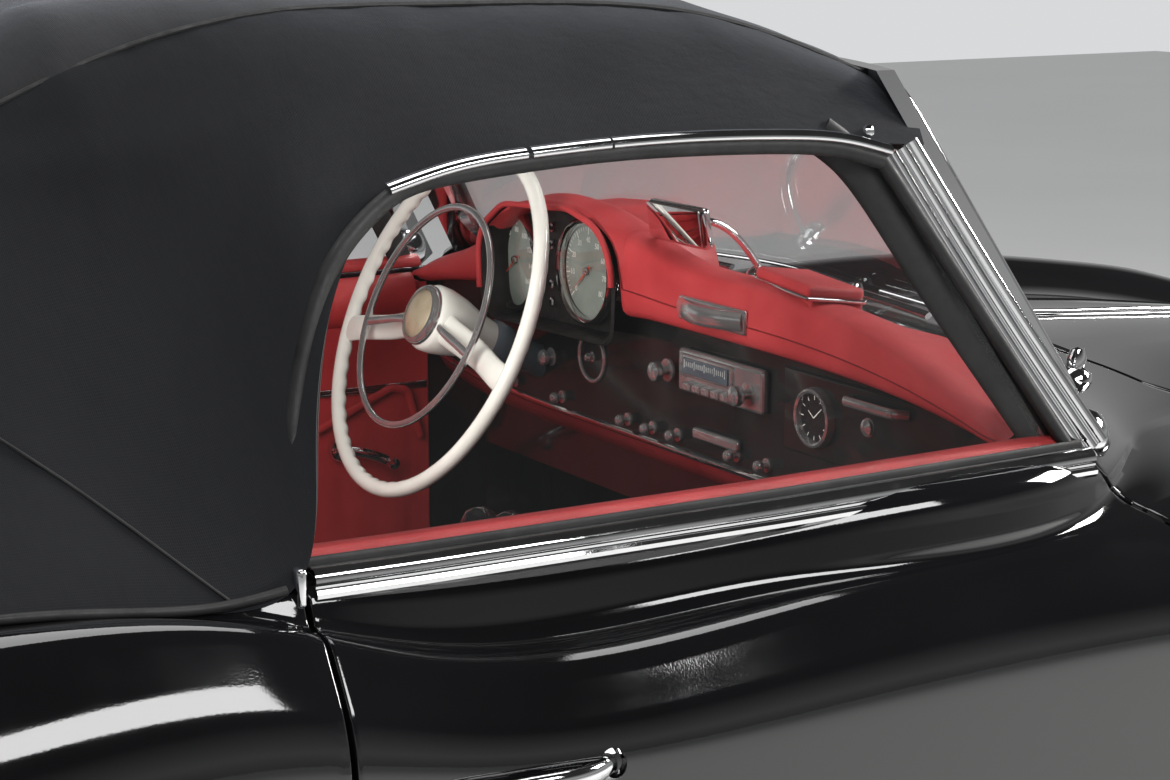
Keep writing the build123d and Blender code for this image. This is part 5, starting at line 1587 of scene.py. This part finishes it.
# Carpets, pedals, lever and the shelf behind the seats
carpet = Shape()
for side in (1, -1):
    rows = []
    for x in np.linspace(-0.545, 0.885, 60):
        rows.append([(x, side * y, 0.2635 + 0.0012 * math.sin(x * 60 + y * 43) + 0.0008 * math.sin(y * 91))
                     for y in np.linspace(0.116, 0.590, 30)])
    carpet.grid(np.array(rows), flip=side < 0)
    rows = []
    for z in np.linspace(0.262, 0.632, 20):
        rows.append([(0.893 - 0.001 * math.sin(y * 80), side * y, z) for y in np.linspace(0.116, 0.590, 30)])
    carpet.grid(np.array(rows), flip=side > 0)
tunnel = []
for x in np.linspace(-0.79, 0.89, 80):
    tunnel.append([(x, y, z) for y, z in smooth_path(
        [(-115, 266, 0), (-115, 330, 0), (-112, 374, 0), (-92, 389.5, 0), (0, 391, 0), (92, 389.5, 0), (112, 374, 0),
         (115, 330, 0), (115, 266, 0)], 48)[:, :2] * MM])
carpet.grid(np.array(tunnel))
shelf = []
for x in np.linspace(-0.795, -0.56, 30):
    shelf.append([(x, y, 0.264 + 0.0015 * math.sin(x * 70 + y * 30)) for y in np.linspace(-0.64, 0.64, 80)])
carpet.grid(np.array(shelf))
rear_wall = []
for z in np.linspace(0.264, 0.86, 40):
    rear_wall.append([(-0.794 + 0.0015 * math.sin(z * 40 + y * 25), y, z) for y in np.linspace(-0.66, 0.66, 80)])
carpet.grid(np.array(rear_wall))
carpet.make("carpets", CARPET, 60)

lever_parts = Shape()
lever_path = smooth_path([(250, 0, 392), (248, 2, 450), (237, 8, 540), (218, 17, 620), (207, 22, 668)], 40)
lever_parts.tube(lever_path * MM, 7 * MM, 14)
second_path = smooth_path([(282, 44, 392), (280, 50, 480), (272, 57, 580), (267, 60, 648)], 30)
lever_parts.tube(second_path * MM, 5 * MM, 14)
for knob_at in ((0.2055, 0.023, 0.676), (0.2665, 0.060, 0.656)):
    lever_parts.lathe([(0.0004, 0.026), (0.012, 0.0235), (0.021, 0.014), (0.0235, 0.002), (0.021, -0.010),
                       (0.013, -0.020), (0.008, -0.024)], knob_at, (-0.25, 0.1, 1), 40)
lever_parts.make("gear_lever_piece", PAINT, 50, slot="dial_black", replaces=["gear_lever"])
boot = Shape().lathe([(0.009, 0.075), (0.013, 0.07), (0.012, 0.06), (0.024, 0.054), (0.021, 0.042), (0.036, 0.036),
                      (0.033, 0.022), (0.052, 0.014), (0.058, 0.002), (0.058, -0.002)],
                     (0.250, 0, 0.392), (-0.05, 0, 1), 48)
boot.make("lever_boot", RUBBER, 60)
brake = Shape().tube(smooth_path([(60, 92, 392), (110, 92, 420), (190, 92, 462), (250, 92, 480)], 24) * MM, 8 * MM, 14)
brake.lathe([(0.0004, 0.01), (0.011, 0.006), (0.012, -0.05), (0.010, -0.06)], (0.256, 0.092, 0.482), (0.95, 0, 0.3), 28)
brake.make("handbrake", CHROME, 50)
pads = Shape()
for y in (260, 370, 480):
    pads.block((0.747, y * MM, 0.375), (0.016, 0.062, 0.09), 0.007)
    for k in range(5):
        pads.block((0.7385, y * MM, (0.343 + k * 0.016)), (0.004, 0.05, 0.006), 0.0018)
pads.make("pedal_rubbers", RUBBER, 50)

# Roof bows under the lining, and sun visors at the header
bows = Shape()
for station in (1.35, 3.3, 5.7):
    grid_line = top_grid(np.array([station, station + 0.01]), np.linspace(1.45, 6.55, 60))[0]
    grid_line[:, 2] -= 21
    bows.sweep(grid_line * MM, oval(0.011, 0.005, 14))
bows.make("roof_bows", SATIN, 50)
visors = Shape()
for y in (-0.31, 0.31):
    visors.block((0.335, y, 1.236), (0.115, 0.40, 0.012), 0.0055, tilt(20), 4)
visors.make("sun_visors", LINING, 60)


# Bumpers and overriders
BUMPER_HALF = 742.0
BUMPER_NOSE = 2143.0
BUMPER_DROP = 210.0
BUMPER_Z = 439.0
BLADE = [(0.0, 4.0), (0.2, 12.0), (-1.5, 24.0), (-6.0, 34.0), (-13.0, 41.0), (-17.5, 42.5), (-18.5, 40.0),
         (-12.0, 30.0), (-7.0, 16.0), (-6.0, 0.0), (-7.0, -16.0), (-12.0, -30.0), (-18.5, -40.0), (-17.5, -42.5),
         (-13.0, -41.0), (-6.0, -34.0), (-1.5, -24.0), (0.2, -12.0), (0.0, -4.0)]
OVERRIDER_Y = 330


def bumper_bar(way):
    """Curved chrome blade with a crown along its middle, round the car's end."""
    shape = Shape()
    rows = []
    for t in np.linspace(-1, 1, 140):
        bow = BUMPER_NOSE - BUMPER_DROP * abs(t) ** 2.2
        rows.append([(way * (bow + a), BUMPER_HALF * t, BUMPER_Z + b * (1 - 0.10 * abs(t) ** 4)) for a, b in BLADE])
    shape.grid(np.array(rows) * MM, wrap=True, flip=way < 0)
    for rim, flip in ((rows[0], way > 0), (rows[-1], way < 0)):
        ring = np.array(rim)
        centre = ring.mean(axis=0)
        dome_rows = []
        for k in np.linspace(0, 1, 6):
            shrink = math.cos(k * math.pi / 2)
            ring_k = centre + (ring - centre) * shrink
            ring_k[:, 1] += math.copysign(9 * math.sin(k * math.pi / 2), centre[1])
            dome_rows.append(ring_k)
        shape.grid(np.array(dome_rows) * MM, wrap=True, flip=flip)
    return shape


def overriders(way):
    shape = Shape()
    bow = BUMPER_NOSE - BUMPER_DROP * (OVERRIDER_Y / BUMPER_HALF) ** 2.2
    for side in (-1, 1):
        rows = []
        for t in np.linspace(0, 1, 30):
            z = 352 + 196 * t
            size = math.sin(math.pi * min(1, max(0, 0.04 + 0.92 * t))) ** 0.45
            lean = 4 * math.sin(math.pi * t)
            rows.append([(way * (bow - 21 + lean + 20 * size * a), side * OVERRIDER_Y + 21 * size * b, z)
                         for a, b in circle(1, 28)])
        shape.grid(np.array(rows) * MM, wrap=True, flip=way < 0)
    return shape


for way, word in ((1, "front"), (-1, "rear")):
    bumper_bar(way).make(word + "_bumper_blade", CHROME, 45)
    overriders(way).make(word + "_overriders", CHROME, 50)

# Lamps: chrome rim, fluted lens and bulb shroud over the CAD lens
lamp_rim, lamp_lens, lamp_bowl = Shape(), Shape(), Shape()
for side in (-1, 1):
    at = (2.0, side * 0.592, 0.655)
    lamp_rim.lathe([(0.078, 0.012), (0.0795, 0.020), (0.084, 0.0245), (0.090, 0.022), (0.0955, 0.012), (0.0975, -0.004),
                    (0.0975, -0.016)], at, (1, 0, 0), 110)
    lamp_bowl.lathe([(0.0005, -0.05), (0.03, -0.046), (0.055, -0.030), (0.072, -0.004), (0.078, 0.013)],
                    at, (1, 0, 0), 72)
    lamp_bowl.lathe([(0.0005, 0.006), (0.010, 0.004), (0.013, -0.004), (0.013, -0.02)], at, (1, 0, 0), 28)
    rows = []
    for r in np.linspace(0.0002, 0.079, 40):
        bulge = 0.016 * (1 - (r / 0.079) ** 2)
        rows.append([(at[0] + 0.014 + bulge + 0.0006 * math.sin(2 * math.pi * r * math.cos(a) / 0.0085),
                      at[1] + r * math.cos(a), at[2] + r * math.sin(a))
                     for a in np.linspace(0, 2 * math.pi, 90, endpoint=False)])
    lamp_lens.grid(np.array(rows), wrap=True)
lamp_rim.make("headlamp_rims", CHROME, 50)
lamp_bowl.make("headlamp_bowls", MIRROR_SILVER, 60)
lamp_lens.make("headlamp_lenses", LAMP_GLASS, 60, replaces=["headlamps"])

tail_rim, tail_lens = Shape(), Shape()
for side in (-1, 1):
    axis = (-1, -0.12 * side, 0.12)
    at = (-2.045, side * 0.561, 0.546)
    tail_rim.lathe([(0.038, 0.010), (0.041, 0.014), (0.045, 0.011), (0.0475, 0.0), (0.0475, -0.045)], at, axis, 72)
    tail_lens.lathe([(0.0003, 0.021), (0.008, 0.0205), (0.009, 0.0185), (0.016, 0.0195), (0.017, 0.0175),
                     (0.024, 0.018), (0.025, 0.016), (0.032, 0.015), (0.033, 0.0125), (0.039, 0.010)], at, axis, 72)
tail_rim.make("tail_lamp_rims", CHROME, 50)
tail_lens.make("tail_lamp_lenses", LENS_RED, 25, replaces=["tail_lamps"])

# Grille: bright frame and bars over the CAD grille, with a dark block behind them as painted shadow
bars = Shape()
frame_path = rounded_path([(0, -322, 383), (0, 322, 383), (0, 312, 537), (0, -312, 537)], [30, 30, 46, 46], 8,
                          closed=True)
frame_path[:, 0] = [2036 - 34 * (abs(p[1]) / 330) ** 2 for p in frame_path]
bars.sweep(frame_path * MM, oval(0.008, 0.0095, 14), (1, 0.01, 0), closed=True)
for k in range(6):
    z = 400 + k * 24.5
    half = 308 - 4 * abs(k - 2.5)
    line = [(2030 - 34 * (abs(y) / 330) ** 2, y, z) for y in np.linspace(-half, half, 60)]
    bars.sweep(np.array(line) * MM, oval(0.0045, 0.0052, 12))
bars.make("grille_bars", CHROME, 50, replaces=["grille"])
# Dark block behind the bars: painted shadow in the grille opening.
back = Shape().block((2.006, 0, 0.46), (0.01, 0.60, 0.13), 0.004)
back.make("grille_shadow", BLACK_SATIN, 40)

# Blank plates
plate = Shape().block((-2.024, 0, 0.60), (0.004, 0.44, 0.115), 0.0015, tilt(-14))
plate.make("rear_plate_blank", PLATE, 40)
holder = Shape()
for side in (-1, 1):
    holder.lathe([(0.0003, 0.02), (0.010, 0.018), (0.014, 0.009), (0.015, 0)], (-2.02, side * 0.16, 0.668),
                 (-1, 0, 0.2), 28)
holder.make("plate_lamps", CHROME, 50)

# Door handles, bonnet strip and boot handle
outer = Shape()
grip = smooth_path([(-318, -852, 700), (-290, -872, 703), (-225, -877, 704), (-160, -872, 703), (-132, -855, 702)], 30)
outer.sweep(grip * MM, oval(0.0065, 0.0095, 16))
outer.lathe([(0.0004, 0.014), (0.010, 0.013), (0.014, 0.008), (0.016, 0)], (-0.345, -0.854, 0.672), (0, -1, 0.1), 32)
for x in (-318, -132):
    outer.lathe([(0.011, 0.012), (0.015, 0.006), (0.018, 0.0), (0.018, -0.012)], (x * MM, -0.852, 0.702),
                (0, -1, 0.1), 32)
both_sides(outer, "door_handle", CHROME, 50, doors=True)

ridge = np.array([(x, 0, drop_height(x, 0) + 3.5) for x in np.linspace(905, 1930, 80)])
spear = Shape().sweep(smooth_path(ridge, 120) * MM, oval(0.006, 0.005, 14), (0, 1, 0),
                      sizes=0.35 + 0.65 * np.sin(np.linspace(0.15, math.pi - 0.15, 120)))
spear.make("bonnet_strip", CHROME, 50, "bonnet")
tail_z = drop_height(-1890, 0)
latch = Shape().lathe([(0.0004, 0.03), (0.012, 0.028), (0.019, 0.018), (0.021, 0.004), (0.024, 0.0), (0.024, -0.008)],
                      (-1.89, 0, tail_z * MM), (-0.35, 0, 1), 40)
latch.sweep(np.array([(-1.89 - 0.01, t, tail_z * MM + 0.030 - 14 * t * t) for t in np.linspace(-0.035, 0.035, 20)]),
            oval(0.007, 0.006, 14))
latch.make("boot_handle", CHROME, 50, "boot_lid")

# Wipers
wiper = Shape()
for pivot_y in (-380, 60):
    z = drop_height(780, pivot_y)
    wiper.lathe([(0.0005, 0.036), (0.008, 0.034), (0.012, 0.024), (0.012, 0.012), (0.020, 0.006), (0.022, -0.004)],
                (0.780, pivot_y * MM, z * MM), (0.1, 0, 1), 32)
    tip_y = pivot_y + 250
    arm_tip = (screen_x(tip_y, 940) + 26, tip_y, 948)
    arm_line = smooth_path([(780, pivot_y, z + 28), (766, pivot_y + 80, z + 40), arm_tip], 24)
    wiper.sweep(arm_line * MM, oval(0.005, 0.0028, 12))
    blade_line = [(screen_x(y, 936) + 14, y, 936 + 0.02 * (y - pivot_y))
                  for y in np.linspace(tip_y - 130, min(tip_y + 130, 560), 30)]
    wiper.sweep(np.array(blade_line) * MM, oval(0.0035, 0.006, 12), (0.8, 0, 0.6))
wiper.make("wiper_arms", CHROME, 50, replaces=["wipers"])
cowl = Shape()
strip_rows = []
for y in np.linspace(-640, 640, 90):
    x = screen_x(y, 884)
    z = drop_height(x + 12, y)
    strip_rows.append([(x + 26, y, z + 2), (x + 18, y, z + 7), (x + 6, y, z + 11), (x - 2, y, z + 9)])
cowl.grid(np.array(strip_rows) * MM)
cowl.make("screen_base_rubber", RUBBER, 60)


# Road wheels: vented steel disc, chrome trim ring and plain domed cap, and the tread and wall ribs of the tyre
WHEEL_CENTRE = 0.32
RIM_HOLES = 16
TREAD_BLOCKS = 84


def wheel_face(side):
    disc_shape, cap_shape = Shape(), Shape()
    out = 0.060
    disc_shape.lathe([(0.062, out - 0.010), (0.095, out - 0.004), (0.118, out - 0.010), (0.138, out - 0.028),
                      (0.146, out - 0.030), (0.150, out - 0.004), (0.156, out + 0.006), (0.163, out + 0.009)],
                     (0, 0, 0), (0, side, 0), 96)
    cap_shape.lathe([(0.0003, out + 0.027), (0.03, out + 0.0255), (0.052, out + 0.021), (0.066, out + 0.012),
                     (0.074, out + 0.001), (0.086, out - 0.004), (0.088, out - 0.008)], (0, 0, 0), (0, side, 0), 96)
    cap_shape.lathe([(0.147, out + 0.002), (0.152, out + 0.0105), (0.160, out + 0.0135), (0.1665, out + 0.0125),
                     (0.1675, out + 0.008)], (0, 0, 0), (0, side, 0), 96)
    for k in range(RIM_HOLES):
        angle = 2 * math.pi * k / RIM_HOLES
        centre = (0.1565 * math.cos(angle), side * (out + 0.0125), 0.1565 * math.sin(angle))
        cap_shape.block(centre, (0.010, 0.003, 0.006), 0.001, Matrix.Rotation(-angle, 3, "Y"))
    return disc_shape, cap_shape


def tread():
    shape = Shape()
    half = 0.064
    for k in range(TREAD_BLOCKS):
        for j, y in enumerate(np.linspace(-half + 0.012, half - 0.012, 5)):
            angle = (k + 0.5 * (j % 2)) * 2 * math.pi / TREAD_BLOCKS
            shape.block((0.3180 * math.cos(angle), y, 0.3180 * math.sin(angle)), (0.004, 0.019, 0.0175), 0,
                        Matrix.Rotation(-angle, 3, "Y"))
    for side in (-1, 1):
        for radius, y in ((0.292, 0.0795), (0.262, 0.0825), (0.257, 0.0825), (0.205, 0.0755)):
            ring = [(radius * math.cos(a), side * y, radius * math.sin(a))
                    for a in np.linspace(0, 2 * math.pi, 96, endpoint=False)]
            shape.tube(np.array(ring), 0.0016, 5, (0, 1, 0), closed=True)
    return shape


for end, x, track in (("front", 1.385, 0.715), ("rear", -1.015, 0.7375)):
    for word, side in (("left", 1), ("right", -1)):
        corner = end + "_" + word
        place = Matrix.Translation((x, side * track, WHEEL_CENTRE))
        disc_shape, cap_shape = wheel_face(side)
        for shape, name, look, angle in ((disc_shape, "wheel_disc_", PAINT, 50), (cap_shape, "hub_cap_", CHROME, 50),
                                         (tread(), "tread_", TYRE, 40)):
            shape.moved(place).make(name + corner, look, angle, "wheel_" + corner)

# Bright sill strips and the exhaust's tip
sill = Shape()
line = [(x, -846 - 6 * math.sin(math.pi * (x + 372) / 932), 262) for x in np.linspace(-360, 548, 60)]
sill.sweep(np.array(line) * MM, oval(0.004, 0.009, 14))
both_sides(sill, "sill_strip", CHROME, 50)
tip = Shape().lathe([(0.0185, -0.10), (0.0185, 0.018), (0.0205, 0.020), (0.0228, 0.016), (0.0228, -0.12)],
                    (-2.045, 0.33, 0.178), (-1, 0, 0), 40)
tip.make("exhaust_tip_trim", CHROME, 50)


# Stage, lights and camera
def build_stage():
    floor_mesh = bpy.data.meshes.new("floor")
    half = 14
    floor_mesh.from_pydata([(-half, -half, 0), (half, -half, 0), (half, half, 0), (-half, half, 0)], [], [(0, 1, 2, 3)])
    floor = bpy.data.objects.new("floor", floor_mesh)
    bpy.context.scene.collection.objects.link(floor)
    material, tree, shader = new_material("pale_floor")
    where = coordinates(tree)
    tree.links.new(mixed(tree, noise(tree, where, 0.7), (0.62, 0.62, 0.61), (0.68, 0.68, 0.67)),
                   shader.inputs["Base Color"])
    set_sockets(shader, Roughness=0.75)
    floor_mesh.materials.append(material)


def build_world():
    """Pale background; dimmer surroundings overhead and behind the camera for what is reflected."""
    world = bpy.data.worlds.new("studio")
    world.use_nodes = True
    bpy.context.scene.world = world
    tree = world.node_tree
    tree.nodes.clear()
    output = add_node(tree, "ShaderNodeOutputWorld")
    light = add_node(tree, "ShaderNodeBackground", in_Strength=0.6)
    light.inputs["Color"].default_value = (0.97, 0.98, 1.0, 1)
    shown = add_node(tree, "ShaderNodeBackground", in_Strength=0.8)
    shown.inputs["Color"].default_value = (0.86, 0.87, 0.88, 1)
    mirrored = add_node(tree, "ShaderNodeBackground")
    where = add_node(tree, "ShaderNodeTexCoord").outputs["Generated"]
    split = add_node(tree, "ShaderNodeSeparateXYZ")
    tree.links.new(where, split.inputs[0])
    off_centre = math_node(tree, "ABSOLUTE", math_node(tree, "ADD", split.outputs["Z"], -0.1), 0)
    band = ranged(tree, off_centre, 0.42, 0.03, 0.0, 0.3)
    tree.links.new(band, mirrored.inputs["Strength"])
    path = add_node(tree, "ShaderNodeLightPath")
    seen = math_node(tree, "MAXIMUM", path.outputs["Is Camera Ray"], path.outputs["Is Transmission Ray"])
    mix = add_node(tree, "ShaderNodeMixShader")
    tree.links.new(path.outputs["Is Glossy Ray"], mix.inputs["Fac"])
    tree.links.new(light.outputs[0], mix.inputs[1])
    tree.links.new(mirrored.outputs[0], mix.inputs[2])
    final = add_node(tree, "ShaderNodeMixShader")
    tree.links.new(seen, final.inputs["Fac"])
    tree.links.new(mix.outputs[0], final.inputs[1])
    tree.links.new(shown.outputs[0], final.inputs[2])
    tree.links.new(final.outputs[0], output.inputs["Surface"])


def area_light(name, place, target, size, power, colour=(1, 1, 1)):
    data = bpy.data.lights.new(name, "AREA")
    data.shape = "RECTANGLE"
    data.size, data.size_y = size
    data.energy = power
    data.color = colour
    lamp = bpy.data.objects.new(name, data)
    lamp.location = place
    lamp.rotation_euler = (Vector(target) - Vector(place)).to_track_quat("-Z", "Y").to_euler()
    bpy.context.scene.collection.objects.link(lamp)
    return lamp


CAMERA_PLACE = (-1.220, -2.688, 1.449)
CAMERA_HEADING, CAMERA_PITCH = math.radians(59.9), math.radians(-11.16)


def build_camera():
    data = bpy.data.cameras.new("camera")
    data.lens = 80.3
    data.sensor_width = 36.0
    data.clip_end = 100
    camera = bpy.data.objects.new("camera", data)
    look = Vector((math.cos(CAMERA_HEADING) * math.cos(CAMERA_PITCH),
                   math.sin(CAMERA_HEADING) * math.cos(CAMERA_PITCH), math.sin(CAMERA_PITCH)))
    camera.location = CAMERA_PLACE
    camera.rotation_euler = look.to_track_quat("-Z", "Y").to_euler()
    bpy.context.scene.collection.objects.link(camera)
    bpy.context.scene.camera = camera


build_stage()
build_world()
area_light("key", (0.5, -4.5, 4.2), (0.2, 0, 0.8), (4.0, 1.2), 130)
area_light("over", (0.0, 0.5, 5.0), (0, 0, 0.8), (5.0, 2.0), 90)
area_light("front", (4.2, -1.2, 3.0), (0.4, 0, 0.9), (1.6, 1.2), 200, (1.0, 0.98, 0.95))
cabin_lamp = area_light("cabin", (-0.12, 0.0, 1.13), (0.55, 0.12, 0.86), (0.5, 0.7), 8, (1.0, 0.98, 0.95))
cabin_lamp.visible_camera = False
cabin_lamp.visible_glossy = False
build_camera()
bpy.context.scene.view_settings.view_transform = "Standard"

SLOT_OF = {part["node"]: part["material_slot"] for part in frame["record"]["subparts"]}
for node_name, node_object in NODES.items():
    node_object.data.materials.clear()
    node_object.data.materials.append(LOOKS[SLOT_OF[node_name]][0])
